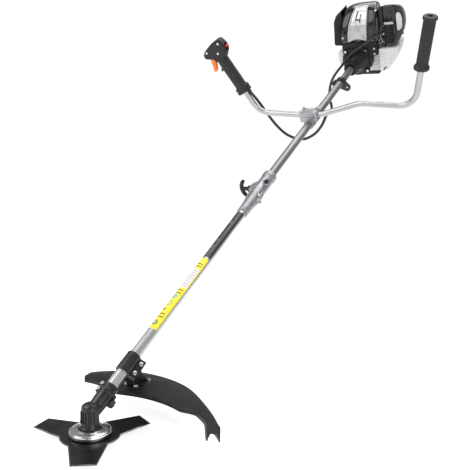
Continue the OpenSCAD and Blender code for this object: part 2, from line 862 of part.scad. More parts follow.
// ---------------------------------------------------------------- engine covers

// side profile of the engine cover: [distance along the pole, height]
module cover_profile(inset) {
  polygon([
    [1750 + inset, 76 - e], [1750 + inset, 100], [1753 + inset, 118], [1760 + inset, 137],
    [1771 + inset, 156], [1787 + inset * 0.8, 175 - inset * 0.6],
    [1806 + inset * 0.5, 190 - inset * 0.9], [1828, 200 - inset], [1848, 204 - inset],
    [1866 - inset * 0.5, 204 - inset], [1878 - inset, 196 - inset], [1882 - inset, 180],
    [1882 - inset, 76 - e]
  ]);
}

// front outline of the engine cover: [across, height]
module cover_front(inset) {
  polygon([
    [-56 + inset, 76 - e], [-56 + inset, 176 - inset * 0.5], [-48 + inset * 0.6, 190 - inset * 0.8],
    [-14, 204 - inset], [86 - inset * 0.3, 204 - inset], [98 - inset, 186], [98 - inset, 76 - e]
  ]);
}

module cover_solid(inset) {
  intersection() {
    translate([-100, 0, 0]) rotate([90, 0, 90]) linear_extrude(220) cover_profile(inset);
    translate([0, 1900, 0]) rotate([90, 0, 0]) linear_extrude(220) cover_front(inset);
  }
}

module engine_cover() {
  color([0.1, 0.1, 0.1]) difference() {
    cover_solid(0);
    cover_solid(3);
    translate([-53, 1753, 70]) cube([148, 126, 8]);
    // openings for the exhaust, the inlet and the cooling air
    translate([-70, 1786, 70]) cube([20, 80, 88]);
    translate([90, 1780, 70]) cube([20, 76, 68]);
    for (i = [0:5]) translate([-20 + i * 16, 1860, 96]) cube([8, 40, 70]);
  }
}

module cover_plate() {
  color("silver") intersection() {
    difference() {
      translate([-100, 0, 0]) rotate([90, 0, 90]) linear_extrude(220) cover_profile(-2);
      translate([-101, 0, 0]) rotate([90, 0, 90]) linear_extrude(222) cover_profile(0);
    }
    translate([0, 1832, 0]) rotate([90, 0, 0]) linear_extrude(100) polygon([
      [-26, 78], [14, 86], [52, 80], [54, 140], [52, 194], [0, 194], [-20, 140]
    ]);
  }
}

module muffler() {
  color("dimgray") difference() {
    union() {
      translate([-66, 1822, 62.5]) rounded_block([18, 62, 89.5], 6);
      translate([-72, 1840, 132]) rotate([0, -90, 0]) cylinder(r = 7, h = 7);
    }
    translate([-66, 1822, 65]) rounded_block([14, 58, 84], 5);
    translate([-90, 1840, 132]) rotate([0, 90, 0]) cylinder(r = 5, h = 22);
    translate([-62, cylinder_s, 76]) rotate([0, 90, 0]) cylinder(r = 7, h = 22);
  }
}

guard_slots = 7;

module muffler_guard() {
  color([0.12, 0.12, 0.12]) difference() {
    translate([0, 1872, 0]) rotate([90, 0, 0]) linear_extrude(102) polygon([
      [-56, 58], [-88, 60], [-90, 66], [-80, 150], [-74, 170], [-56, 186]
    ]);
    translate([0, 1869, 0]) rotate([90, 0, 0]) linear_extrude(96) polygon([
      [-50, 61], [-85, 63], [-87, 67], [-77, 149], [-72, 167], [-57, 181], [-50, 181]
    ]);
    for (i = [0:guard_slots - 1]) translate([-100, 1778 + i * 12.4, 84])
      cube([30, 6, 70]);
    translate([-95, 1840, 132]) rotate([0, 90, 0]) cylinder(r = 9, h = 22);
  }
}

module carburettor() {
  color("lightgray") difference() {
    union() {
      translate([68, cylinder_s, 48]) rounded_block([40, 36, 44], 5);
      translate([42, cylinder_s, 70]) rotate([0, 90, 0]) cylinder(r = 12, h = 10);
      translate([88, cylinder_s, 70]) rotate([0, 90, 0]) cylinder(r = 14, h = 11);
      // plate that holds the end of the throttle cable
      translate([80, 1783, 84]) cube([8, 20, 6]);
      translate([80, 1783, 84]) cube([31, 3, 24]);
    }
    translate([30, cylinder_s, 70]) rotate([0, 90, 0]) cylinder(r = 8, h = 90);
    translate([68, cylinder_s, 60]) cylinder(r = 3 + fit, h = 40);
  }
}

module throttle_lever() {
  color("silver") translate([68, cylinder_s, 0]) {
    translate([0, 0, 62]) cylinder(r = 3, h = 36);
    translate([0, 0, 94]) linear_extrude(3) {
      circle(7);
      translate([0, -5]) square([24, 10]);
      translate([24, 0]) circle(5);
    }
  }
}

module air_cleaner_case() {
  color([0.1, 0.1, 0.1]) difference() {
    translate([99, 1776, 42]) cube([14, 84, 152]);
    translate([96, cylinder_s, 70]) rotate([0, 90, 0]) cylinder(r = 10, h = 20);
    translate([104, 1780, 46]) cube([12, 76, 54]);
    translate([95, 1774, 78]) cube([22, 14, 34]);
    // the top edge falls towards the back, under the lid
    rotate([90, 0, 90]) linear_extrude(130) polygon([
      [1770, 200], [1786, 194], [1870, 164], [1870, 220]
    ]);
  }
}

module air_cleaner_outline(inset) {
  polygon([
    [113.4, 44 + inset], [140, 40 + inset], [152, 44 + inset],
    [170 - inset * 0.7, 63 + inset * 0.7],
    [184 - inset, 92], [190 - inset, 120], [190 - inset, 150], [184 - inset, 176 - inset * 0.5],
    [172 - inset * 0.6, 192 - inset * 0.8], [156, 198 - inset], [113.4, 198 - inset]
  ]);
}

// the lid's bulk: its top and its right-hand side draw in towards the back
module air_cleaner_body(inset) {
  intersection() {
    translate([0, 1864 - inset, 0]) rotate([90, 0, 0]) linear_extrude(90 - 2 * inset)
      air_cleaner_outline(inset);
    linear_extrude(300) polygon([
      [100, 1760], [216 - inset, 1760], [190 - inset, 1786], [176 - inset, 1870], [100, 1870]
    ]);
    rotate([90, 0, 90]) linear_extrude(300) polygon([
      [1760, 0], [1870, 0], [1870, 168 - inset], [1786, 198 - inset], [1760, 224 - inset]
    ]);
  }
}

module air_cleaner_cover() {
  color([0.1, 0.1, 0.1]) difference() {
    air_cleaner_body(0);
    air_cleaner_body(3);
    // recess of the intake grille
    translate([113, 1773, 58]) cube([34, 5, 66]);
    for (i = [0:5]) translate([116, 1770, 62 + i * 10]) cube([28, 12, 4]);
  }
}

// foam block between the case and the lid
module air_filter() {
  color([0.3, 0.3, 0.3]) translate([113, 1784, 54]) cube([18, 68, 98]);
}

// ---------------------------------------------------------------- tank and stand

module fuel_tank() {
  color([0.9, 0.9, 0.88]) difference() {
    union() {
      translate([0, 1880, 0]) rotate([90, 0, 0]) linear_extrude(88) polygon([
        [-42, 28], [-84, 28], [-92, 20], [-90, -20], [-72, -50], [-52, -62], [84, -62],
        [120, -40], [150, -2], [166, 30], [164, 38], [64, 38], [42, 28],
        [42, -36], [-42, -36]
      ]);
      translate([0, 1880, 0]) rotate([90, 0, 0]) linear_extrude(114) polygon([
        [86, -60.8], [120, -40], [150, -2], [166, 30], [164, 38], [86, 38]
      ]);
      along(1879) translate([105, 0, 0]) cylinder(r = 17, h = 10);
    }
    // the right-hand side draws in towards the back
    translate([0, 0, -70]) linear_extrude(120) polygon([
      [168, 1790], [149, 1885], [190, 1885], [190, 1790]
    ]);
    // space inside the right-hand half
    translate([0, 1876, 0]) rotate([90, 0, 0]) linear_extrude(80) polygon([
      [66, -54], [86, -56], [113, -37], [134, -8], [144, 20], [144, 34], [66, 34]
    ]);
    along(1870) translate([105, 0, 0]) cylinder(r = 14, h = 30);
  }
}

module fuel_cap() {
  color([0.1, 0.1, 0.1]) along(1890) translate([105, 0, 0]) {
    cylinder(r = 21, h = 12);
    translate([0, 0, -14]) cylinder(r = 14 - fit, h = 14);
    for (i = [0:11]) rotate([0, 0, i * 30]) translate([20, -1.5, 0]) cube([3, 3, 12]);
  }
}

module engine_stand() {
  color([0.1, 0.1, 0.1]) difference() {
    translate([0, 1878, 0]) rotate([90, 0, 0]) linear_extrude(88) polygon([
      [-34, -62], [-28, -72], [70, -74], [84, -66], [84, -62]
    ]);
    translate([-14, 1800, -80]) cube([70, 56, 40]);
  }
}

// ---------------------------------------------------------------- recoil starter

starter_s = 1842;
starter_end = 1904;
starter_bolt = 34;
pulley_s = 1882;
rope_s = 1888;
rope_dir = [-0.9, 0, 0.436];
rope_out = 69; // distance of the starter handle from the pole axis

// children drawn with z along the pull direction, starting at a distance from the axis
module on_rope(distance) {
  translate([0, rope_s, 0] + rope_dir * distance)
    rotate([0, atan2(rope_dir[0], rope_dir[2]), 0]) children();
}

module starter_housing() {
  color([0.1, 0.1, 0.1]) {
    difference() {
      union() {
        along(starter_s) cylinder(r = 46, h = 20);
        along(1862) cylinder(r1 = 46, r2 = 62, h = 20);
        along(1882) rotate_extrude() polygon([
          [0, 0], [62, 0], [62, 14], [54, starter_end - 1882], [0, starter_end - 1882]
        ]);
      }
      along(starter_s - 1) cylinder(r = 33, h = starter_end - starter_s - 3);
      // cooling slots in the rear face
      for (i = [0:15]) rotate([0, i * 22.5, 0]) translate([20, 1898, -1.5])
        cube([18, 10, 3]);
      for (x = [-1, 1], z = [-1, 1]) along(1892)
        translate([x * starter_bolt, z * starter_bolt, 0]) cylinder(r = 2.5, h = 20);
      on_rope(30) cylinder(r = 3, h = 60);
      // the fuel tank wraps the sides and the underside
      for (x = [42, -102]) translate([x, 1830, -80]) cube([60, 51, 160]);
      translate([-80, 1830, -96]) cube([160, 51, 60]);
    }
    // post the pulley turns on
    along(pulley_s - 2) cylinder(r = 8 - fit, h = 22);
  }
}

module starter_pulley() {
  color("ivory") along(pulley_s) difference() {
    union() {
      cylinder(r = 30, h = 3);
      cylinder(r = 24, h = 12);
      translate([0, 0, 9]) cylinder(r = 30, h = 3);
    }
    translate([0, 0, -1]) cylinder(r = 8, h = 20);
  }
}

module starter_rope() {
  color("white") on_rope(26) cylinder(r = 2, h = rope_out - 26);
}

module starter_handle() {
  color([0.1, 0.1, 0.1]) on_rope(rope_out) {
    cylinder(r1 = 7, r2 = 9, h = 16);
    translate([0, 0, 20]) rotate([90, 0, 0]) cylinder(r = 8, h = 48, center = true);
  }
}

row_frame() blade();
row_frame() blade_holder();
row_frame() clamp_washer();
row_frame() blade_nut();
row_frame() output_spindle();
row_frame() output_gear();
row_frame() pinion_gear();
row_frame() lower_drive_shaft();
row_frame() gear_case();
row_frame() gear_bearings();
row_frame() head_bolts();
row_frame() lower_tube();
row_frame() shaft_bushes();
row_frame() guard();
row_frame() guard_bracket();
row_frame() guard_clamp_cap();
row_frame() coupling_body();
row_frame() coupling_knob();
row_frame() lock_pin();
row_frame() upper_tube();
row_frame() handle_saddle();
row_frame() handle_cap();
row_frame() clamp_bolts();
row_frame() handlebar();
row_frame() plain_grip();
row_frame() throttle_housing_front();
row_frame() throttle_housing_back();
row_frame() throttle_trigger();
row_frame() lockout_lever();
row_frame() stop_switch();
row_frame() throttle_cable();
row_frame() hanger_clamp();
row_frame() clutch_housing();
row_frame() engine_bolts();
row_frame() upper_drive_shaft();
row_frame() clutch_drum();
row_frame() clutch_shoes();
row_frame() flywheel();
row_frame() crankshaft();
row_frame() piston();
row_frame() cylinder_node();  // cylinder
row_frame() crankcase();
row_frame() fan_cover();
row_frame() spark_plug();
row_frame() muffler();
row_frame() muffler_guard();
row_frame() engine_cover();
row_frame() cover_plate();
row_frame() carburettor();
row_frame() throttle_lever();
row_frame() air_cleaner_case();
row_frame() air_filter();
row_frame() air_cleaner_cover();
row_frame() fuel_tank();
row_frame() fuel_cap();
row_frame() engine_stand();
row_frame() starter_housing();
row_frame() starter_pulley();
row_frame() starter_rope();
row_frame() starter_handle();
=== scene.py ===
import math

import bmesh
import bpy
from mathutils import Matrix, Vector


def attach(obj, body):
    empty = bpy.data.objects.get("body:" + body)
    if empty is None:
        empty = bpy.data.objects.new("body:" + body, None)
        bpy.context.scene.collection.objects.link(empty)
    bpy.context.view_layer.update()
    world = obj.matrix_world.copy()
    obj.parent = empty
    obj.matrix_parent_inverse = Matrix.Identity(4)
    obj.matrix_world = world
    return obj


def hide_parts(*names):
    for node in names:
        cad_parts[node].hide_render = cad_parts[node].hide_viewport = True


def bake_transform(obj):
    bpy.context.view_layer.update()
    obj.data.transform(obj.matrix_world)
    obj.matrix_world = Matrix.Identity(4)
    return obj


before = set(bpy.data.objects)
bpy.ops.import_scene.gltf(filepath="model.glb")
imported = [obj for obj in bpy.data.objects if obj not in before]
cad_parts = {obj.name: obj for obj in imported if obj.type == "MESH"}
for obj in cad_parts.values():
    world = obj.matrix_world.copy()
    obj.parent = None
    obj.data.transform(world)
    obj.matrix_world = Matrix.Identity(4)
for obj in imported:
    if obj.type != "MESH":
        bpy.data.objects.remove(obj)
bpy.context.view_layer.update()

scene = bpy.context.scene

# ------------------------------------------------------------------ places
# Shapes are drawn in millimetres in the pole frame: x across, y along the pole from the
# blade axis, z square to the pole. ROW takes them to the CAD frame, in metres.

MM = 0.001
POLE_ANGLE = math.radians(32)
EYE = Vector((23, 1552, -21))
ROW = Matrix.Scale(MM, 4) @ Matrix.Rotation(POLE_ANGLE, 4, "X") @ Matrix.Translation(-EYE)
HEAD_TURN = Matrix.Rotation(-POLE_ANGLE, 4, "X")
# z along the blade axis, from where the pole axis meets it
HEAD = ROW @ HEAD_TURN

# turns of a shape's z: towards the gear head, towards the engine, and across
FRONT_TURN = Matrix.Rotation(math.pi / 2, 4, "X")
BACK_TURN = Matrix.Rotation(-math.pi / 2, 4, "X")
CROSS_TURN = Matrix.Rotation(math.pi / 2, 4, "Y")
# x along the pole, y square to it, z across
SIDE_TURN = Matrix.Rotation(math.pi / 2, 4, "Z") @ FRONT_TURN

POLE_R = 13
BAR_R = 9.5
CLAMP_S = 1242
KNOB_S = 822


def along(s):
    """z runs along the pole from station s, x stays across and y points down."""
    return ROW @ Matrix.Translation((0, s, 0)) @ BACK_TURN


def across(x, s, n=0):
    """z runs along +X from a point of the pole frame."""
    return ROW @ Matrix.Translation((x, s, n)) @ CROSS_TURN


def on_grip(corner, end, distance):
    """z runs up the axis of a grip, y along the pole."""
    d = (Vector(end) - Vector(corner)).normalized()
    p = Vector(corner) + d * distance
    turn = math.pi / 2 - math.atan2(d.y, d.x)
    return ROW @ Matrix.Translation((p.x, CLAMP_S, p.y)) @ Matrix.Rotation(turn, 4, "Y")


THROTTLE_GRIP = on_grip((-190, 38), (-278, 228), 96)
PLAIN_GRIP = on_grip((353, 50), (411, 304), 122)


def front(s):
    """x across, y square to the pole, z from station s towards the gear head."""
    return ROW @ Matrix.Translation((0, s, 0)) @ FRONT_TURN


# ------------------------------------------------------------------ camera and stage

CAMERA_PLACE = (0.7874, -2.1668, -0.2903)
CAMERA_TURN = (29.39, 7.46, 1.87)  # azimuth, elevation and roll, in degrees


def make_camera():
    azimuth, elevation, roll = (math.radians(a) for a in CAMERA_TURN)
    back = Vector((math.sin(azimuth) * math.cos(elevation),
                   -math.cos(azimuth) * math.cos(elevation), math.sin(elevation)))
    right = Vector((math.cos(azimuth), math.sin(azimuth), 0))
    up = back.cross(right)
    x = math.cos(roll) * right + math.sin(roll) * up
    y = math.cos(roll) * up - math.sin(roll) * right
    data = bpy.data.cameras.new("camera")
    data.sensor_width = 36
    data.lens = 45.07
    data.shift_x = -0.0151
    data.shift_y = 0.0083
    data.clip_start = 0.05
    data.clip_end = 60
    camera = bpy.data.objects.new("camera", data)
    turn = Matrix((x, y, back)).transposed().to_4x4()
    camera.matrix_world = Matrix.Translation(CAMERA_PLACE) @ turn
    scene.collection.objects.link(camera)
    scene.camera = camera


make_camera()

FLOOR_Z = -0.8665  # 2 mm under the lowest point


def fill(node, **values):
    """Sets a node's sockets; a name has _ where the socket's has a space."""
    for name, value in values.items():
        node.inputs[name.replace("_", " ")].default_value = value


def make_floor():
    bm = bmesh.new()
    bmesh.ops.create_grid(bm, x_segments=8, y_segments=8, size=80)
    mesh = bpy.data.meshes.new("floor")
    bm.to_mesh(mesh)
    bm.free()
    floor = bpy.data.objects.new("floor", mesh)
    floor.location = (0, 2, FLOOR_Z)
    scene.collection.objects.link(floor)
    mat = bpy.data.materials.new("floor")
    mat.use_nodes = True
    # its own glow keeps the shadows on it light
    fill(mat.node_tree.nodes["Principled BSDF"], Base_Color=(0.62, 0.62, 0.62, 1),
         Roughness=0.9, Emission_Color=(1, 1, 1, 1), Emission_Strength=0.82)
    mesh.materials.append(mat)


def make_light(name, place, aim, size, watts):
    data = bpy.data.lights.new(name, "AREA")
    data.shape = "DISK"
    data.size = size
    data.energy = watts
    light = bpy.data.objects.new(name, data)
    light.location = place
    light.rotation_euler = (Vector(aim) - Vector(place)).to_track_quat("-Z", "Y").to_euler()
    scene.collection.objects.link(light)


def make_world():
    world = bpy.data.worlds.new("studio")
    world.use_nodes = True
    tree = world.node_tree
    background = tree.nodes["Background"]
    fill(background, Strength=1.02)
    # white behind the object, a dimmer room in what it reflects
    path = tree.nodes.new("ShaderNodeLightPath")
    mix = tree.nodes.new("ShaderNodeMix")
    mix.data_type = "RGBA"
    fill(mix, A=(0.34, 0.34, 0.35, 1), B=(1, 1, 1, 1))
    tree.links.new(path.outputs["Is Camera Ray"], mix.inputs["Factor"])
    tree.links.new(mix.outputs["Result"], background.inputs["Color"])
    scene.world = world
    scene.view_settings.view_transform = "Standard"


make_floor()
make_world()
make_light("key", (-1.6, -2.6, 1.9), (0, -0.3, -0.2), 3.4, 95)
make_light("fill", (2.6, -2.2, 0.6), (0, -0.3, -0.1), 2.6, 35)
make_light("top", (0.2, 0.6, 2.8), (0, 0, 0), 3.2, 80)


# ------------------------------------------------------------------ materials

class Nodes:
    """A material's node tree with short calls for what every finish here uses."""

    def __init__(self, name):
        self.material = bpy.data.materials.new(name)
        self.material.use_nodes = True
        self.tree = self.material.node_tree
        self.shader = self.tree.nodes["Principled BSDF"]
        self.place = self.tree.nodes.new("ShaderNodeTexCoord").outputs["Object"]

    def link(self, a, b):
        self.tree.links.new(a, b)

    def set(self, **values):
        fill(self.shader, **values)

    def stretched(self, scale):
        """Coordinates turned to the pole's direction and scaled along x, s and n."""
        mapping = self.tree.nodes.new("ShaderNodeMapping")
        mapping.vector_type = "TEXTURE"
        fill(mapping, Rotation=(POLE_ANGLE, 0, 0), Scale=[1 / v for v in scale])
        self.link(self.place, mapping.inputs["Vector"])
        return mapping.outputs["Vector"]

    def noise(self, scale, detail=3, vector=None):
        node = self.tree.nodes.new("ShaderNodeTexNoise")
        fill(node, Scale=scale, Detail=detail)
        self.link(vector or self.place, node.inputs["Vector"])
        return node.outputs["Fac"]

    def cells(self, scale):
        node = self.tree.nodes.new("ShaderNodeTexVoronoi")
        fill(node, Scale=scale)
        self.link(self.place, node.inputs["Vector"])
        return node.outputs["Distance"]

    def remap(self, value, low, high):
        """The middle of a noise's range spread over low to high."""
        node = self.tree.nodes.new("ShaderNodeMapRange")
        fill(node, From_Min=0.3, From_Max=0.7, To_Min=low, To_Max=high)
        self.link(value, node.inputs["Value"])
        return node.outputs["Result"]

    def colours(self, value, *stops):
        node = self.tree.nodes.new("ShaderNodeValToRGB")
        ramp = node.color_ramp
        while len(ramp.elements) < len(stops):
            ramp.elements.new(0.5)
        for element, (at, colour) in zip(ramp.elements, stops):
            element.position = at
            element.color = (*colour, 1)
        self.link(value, node.inputs["Fac"])
        self.link(node.outputs["Color"], self.shader.inputs["Base Color"])

    def bump(self, value, distance, strength=0.5):
        node = self.tree.nodes.new("ShaderNodeBump")
        fill(node, Distance=distance * MM, Strength=strength)
        self.link(value, node.inputs["Height"])
        before = self.shader.inputs["Normal"].links
        if before:
            self.link(before[0].from_socket, node.inputs["Normal"])
        self.link(node.outputs["Normal"], self.shader.inputs["Normal"])

    def rough(self, value, low, high):
        self.link(self.remap(value, low, high), self.shader.inputs["Roughness"])


def shade(colour, factor):
    return tuple(min(1, c * factor) for c in colour)


def moulded(name, colour, rough=0.48, grain=1400, coat=0.0):
    """Moulded plastic: a fine grain, slow colour drift and faint handling marks."""
    m = Nodes(name)
    drift = m.noise(14, 4)
    m.colours(drift, (0.3, shade(colour, 0.8)), (0.7, shade(colour, 1.25)))
    m.rough(m.noise(60, 5), rough - 0.08, rough + 0.1)
    m.bump(m.noise(grain, 2), 0.12, 0.5)
    m.bump(m.cells(grain * 0.6), 0.08, 0.35)
    m.set(Coat_Weight=coat, Coat_Roughness=0.06, Specular_IOR_Level=0.3)
    return m.material


def anodised(name, colour, rough=0.34):
    """Drawn tube: fine lines along the pole under a satin anodised skin."""
    m = Nodes(name)
    lines = m.noise(1, 3, m.stretched((900, 4, 900)))
    drift = m.noise(9, 3)
    m.colours(drift, (0.35, shade(colour, 0.9)), (0.65, shade(colour, 1.08)))
    m.rough(lines, rough - 0.07, rough + 0.09)
    m.bump(lines, 0.006, 0.3)
    m.set(Metallic=0.85, Anisotropic=0.3)
    return m.material


def cast(name, colour, metallic=0.8, rough=0.42, pits=420):
    """Casting: pebbled skin, soft blotches and small pits."""
    m = Nodes(name)
    m.colours(m.noise(30, 5), (0.3, shade(colour, 0.78)), (0.7, shade(colour, 1.12)))
    m.rough(m.noise(90, 4), rough - 0.1, rough + 0.12)
    m.bump(m.noise(pits, 4), 0.07, 0.4)
    m.bump(m.cells(pits * 0.5), 0.05, 0.25)
    m.set(Metallic=metallic)
    return m.material


def machined(name, colour, rough=0.22):
    """Turned or plated steel: even tool marks and a few darker stains."""
    m = Nodes(name)
    marks = m.noise(1, 2, m.stretched((160, 1600, 160)))
    m.colours(m.noise(70, 5), (0.25, shade(colour, 0.75)), (0.6, colour))
    m.rough(marks, rough - 0.06, rough + 0.1)
    m.bump(marks, 0.02, 0.3)
    m.set(Metallic=1.0)
    return m.material


def rolled_steel():
    """Dark rolled sheet of the blade with brushed streaks."""
    m = Nodes("rolled_steel")
    streaks = m.noise(1, 4, m.stretched((700, 26, 26)))
    m.colours(m.noise(22, 6), (0.3, (0.022, 0.023, 0.026)), (0.72, (0.075, 0.078, 0.084)))
    m.rough(streaks, 0.24, 0.44)
    m.bump(streaks, 0.03, 0.4)
    m.set(Metallic=0.9)
    return m.material


def ground_steel():
    """The blade's ground cutting edges, brighter and streaked across."""
    m = Nodes("ground_steel")
    streaks = m.noise(1, 3, m.stretched((1500, 200, 200)))
    m.colours(m.noise(60, 4), (0.3, (0.07, 0.072, 0.076)), (0.7, (0.20, 0.203, 0.21)))
    m.rough(streaks, 0.22, 0.4)
    m.bump(streaks, 0.03, 0.5)
    m.set(Metallic=1.0)
    return m.material


def chromed():
    """Polished and turned cup: rings from the lathe and faint smears."""
    m = Nodes("chromed")
    m.colours(m.noise(40, 3), (0.3, (0.40, 0.40, 0.41)), (0.7, (0.66, 0.66, 0.67)))
    m.rough(m.noise(130, 5), 0.16, 0.28)
    m.bump(m.noise(1, 2, m.stretched((60, 60, 900))), 0.005, 0.2)
    m.set(Metallic=1.0)
    return m.material


def tank_plastic():
    """Milky blow-moulded tank."""
    m = Nodes("tank_plastic")
    m.colours(m.noise(12, 4), (0.3, (0.54, 0.54, 0.53)), (0.7, (0.68, 0.68, 0.67)))
    m.rough(m.noise(50, 4), 0.3, 0.44)
    m.bump(m.noise(500, 3), 0.15, 0.4)
    m.set(Subsurface_Weight=0.35, Subsurface_Radius=(0.02, 0.02, 0.018),
          Transmission_Weight=0.12, IOR=1.45)
    return m.material


def rubber(name, colour):
    """Soft rubber: matt, mottled and slightly dusty."""
    m = Nodes(name)
    m.colours(m.noise(45, 6), (0.3, shade(colour, 0.75)), (0.75, shade(colour, 1.6)))
    m.rough(m.noise(160, 5), 0.5, 0.72)
    m.bump(m.noise(1100, 3), 0.15, 0.5)
    m.set(Specular_IOR_Level=0.4)
    return m.material


def label_film(name, colour):
    """Printed film: smooth with a slight orange-peel."""
    m = Nodes(name)
    m.colours(m.noise(120, 3), (0.3, shade(colour, 0.93)), (0.7, shade(colour, 1.04)))
    m.rough(m.noise(80, 3), 0.26, 0.38)
    m.bump(m.noise(260, 2), 0.04, 0.3)
    return m.material


def braid(name, colour):
    """Braided cord: crossing strands, darker where the cells dip, as painted shade."""
    m = Nodes(name)
    m.colours(m.cells(900), (0.1, shade(colour, 0.55)), (0.5, colour))
    m.bump(m.cells(900), 0.5, 0.8)
    m.set(Roughness=0.8)
    return m.material


def foam(name, colour):
    """Open-cell foam: dense pores, darker where the cells dip, as painted shade."""
    m = Nodes(name)
    m.colours(m.cells(700), (0.1, shade(colour, 0.3)), (0.6, colour))
    m.bump(m.cells(700), 0.4, 0.9)
    m.set(Roughness=0.9)
    return m.material


LOOK = {
    "blade_steel": rolled_steel(),
    "ground_edge": ground_steel(),
    "cup_chrome": chromed(),
    "machined_steel": machined("machined_steel", (0.56, 0.56, 0.57)),
    "bolt_zinc": machined("bolt_zinc", (0.50, 0.50, 0.51), 0.24),
    "head_black": cast("head_black", (0.011, 0.011, 0.012), 0.1, 0.32, 520),
    "pole_silver": anodised("pole_silver", (0.50, 0.50, 0.51)),
    "pole_grey": anodised("pole_grey", (0.24, 0.245, 0.25), 0.42),
    "cast_alloy": cast("cast_alloy", (0.33, 0.335, 0.345), 0.75, 0.4),
    "bar_silver": anodised("bar_silver", (0.40, 0.40, 0.41), 0.34),
    "engine_alloy": cast("engine_alloy", (0.42, 0.42, 0.43), 0.85, 0.46),
    "iron_grey": cast("iron_grey", (0.16, 0.16, 0.165), 0.9, 0.4),
    "black_plastic": moulded("black_plastic", (0.009, 0.009, 0.010)),
    "gloss_black": moulded("gloss_black", (0.004, 0.004, 0.0045), 0.16, 700, 0.4),
    "guard_black": moulded("guard_black", (0.010, 0.010, 0.011), 0.42, 1100),
    "plate_silver": cast("plate_silver", (0.40, 0.395, 0.40), 0.8, 0.30, 900),
    "trigger_orange": moulded("trigger_orange", (0.86, 0.17, 0.025), 0.4),
    "switch_red": moulded("switch_red", (0.55, 0.03, 0.02), 0.4),
    "grip_rubber": rubber("grip_rubber", (0.009, 0.009, 0.0095)),
    "cable_rubber": rubber("cable_rubber", (0.012, 0.012, 0.013)),
    "tank_white": tank_plastic(),
    "nylon_white": moulded("nylon_white", (0.72, 0.69, 0.62), 0.5),
    "plug_white": moulded("plug_white", (0.80, 0.78, 0.74), 0.2),
    "rope_white": braid("rope_white", (0.72, 0.72, 0.70)),
    "muffler_black": cast("muffler_black", (0.03, 0.03, 0.03), 0.3, 0.5),
    "badge_grey": moulded("badge_grey", (0.42, 0.44, 0.44), 0.45, 500),
    "label_yellow": label_film("label_yellow", (0.86, 0.74, 0.05)),
    "label_white": label_film("label_white", (0.78, 0.78, 0.76)),
    "label_black": label_film("label_black", (0.03, 0.03, 0.033)),
    "label_teal": label_film("label_teal", (0.02, 0.42, 0.42)),
    "label_grey": label_film("label_grey", (0.30, 0.30, 0.30)),
    "filter_foam": foam("filter_foam", (0.07, 0.07, 0.075)),
    # painted shade: a near-black sheet for the throttle housing's seam and the tank's slot, where
    # only shade falls
    "painted_recess_shade": moulded("painted_recess_shade", (0.006, 0.006, 0.006), 0.6),
}

# ------------------------------------------------------------------ shape tools


def circle(r, steps):
    turns = [2 * math.pi * k / steps for k in range(steps)]
    return [(r * math.cos(a), r * math.sin(a)) for a in turns]


def rectangle(width, height, x=0.0, y=0.0):
    w, h = width / 2, height / 2
    return [(x - w, y - h), (x + w, y - h), (x + w, y + h), (x - w, y + h)]


def softened(outline, r, steps=4):
    """The outline with each corner replaced by an arc-like curve r long on each side."""
    made = []
    count = len(outline)
    for i in range(count):
        p = Vector(outline[i])
        a = Vector(outline[i - 1]) - p
        b = Vector(outline[(i + 1) % count]) - p
        cut = min(r, a.length * 0.45, b.length * 0.45)
        start = p + a.normalized() * cut
        end = p + b.normalized() * cut
        for k in range(steps + 1):
            t = k / steps
            made.append(tuple((1 - t) ** 2 * start + 2 * t * (1 - t) * p + t * t * end))
    return made


def inset(outline, d):
    """The outline moved inwards by d. It runs anticlockwise."""
    made = []
    count = len(outline)
    for i in range(count):
        p = Vector(outline[i])
        a = (p - Vector(outline[i - 1])).normalized()
        b = (Vector(outline[(i + 1) % count]) - p).normalized()
        n = Vector((-a.y - b.y, a.x + b.x))
        length = n.length
        if length < 1e-6:
            made.append(tuple(p))
            continue
        n /= length
        spread = max(0.5, n.x * -a.y + n.y * a.x)
        made.append(tuple(p + n * d / spread))
    return made


def anticlockwise(outline):
    area = sum(a[0] * b[1] - b[0] * a[1] for a, b in zip(outline, outline[1:] + outline[:1]))
    return list(outline) if area > 0 else list(reversed(outline))


def stack(rings):
    """A solid through rings of equal count, capped at both ends."""
    bm = bmesh.new()
    loops = [[bm.verts.new(p) for p in ring] for ring in rings]
    count = len(loops[0])
    for a, b in zip(loops, loops[1:]):
        for i in range(count):
            j = (i + 1) % count
            bm.faces.new((a[i], a[j], b[j], b[i]))
    bm.faces.new(list(reversed(loops[0])))
    bm.faces.new(loops[-1])
    return bm


def sheet(rows, closed=False):
    """An open surface through rows of points; closed joins the last row to the first."""
    bm = bmesh.new()
    lines = [[bm.verts.new(p) for p in row] for row in rows]
    after = lines[1:] + lines[:1] if closed else lines[1:]
    for a, b in zip(lines, after):
        for i in range(len(a) - 1):
            bm.faces.new((a[i], b[i], b[i + 1], a[i + 1]))
    return bm


def prism(outline, z0, z1, low=0.0, high=0.0, steps=4):
    """The outline drawn from z0 to z1, its rims rounded by low and high."""
    outline = anticlockwise(outline)
    turns = [math.pi / 2 * k / steps for k in range(steps + 1)]
    levels = [(z0 + low * (1 - math.cos(a)), low * (1 - math.sin(a))) for a in turns] if low \
        else [(z0, 0)]
    levels += [(z1 - high * (1 - math.sin(a)), high * (1 - math.cos(a))) for a in turns] if high \
        else [(z1, 0)]
    return stack([[(x, y, z) for x, y in (inset(outline, d) if d else outline)]
                  for z, d in levels])


def lathe(profile, steps=64, radius=None):
    """A closed profile [(r, z)] turned about z; radius(angle, r, z) may vary it."""
    bm = bmesh.new()
    rings = []
    for k in range(steps):
        a = 2 * math.pi * k / steps
        ring = []
        for r, z in profile:
            real = radius(a, r, z) if radius else r
            ring.append(bm.verts.new((real * math.cos(a), real * math.sin(a), z)))
        rings.append(ring)
    count = len(profile)
    for k in range(steps):
        a, b = rings[k], rings[(k + 1) % steps]
        for i in range(count):
            j = (i + 1) % count
            bm.faces.new((a[i], b[i], b[j], a[j]))
    bmesh.ops.remove_doubles(bm, verts=bm.verts, dist=1e-4)
    return bm


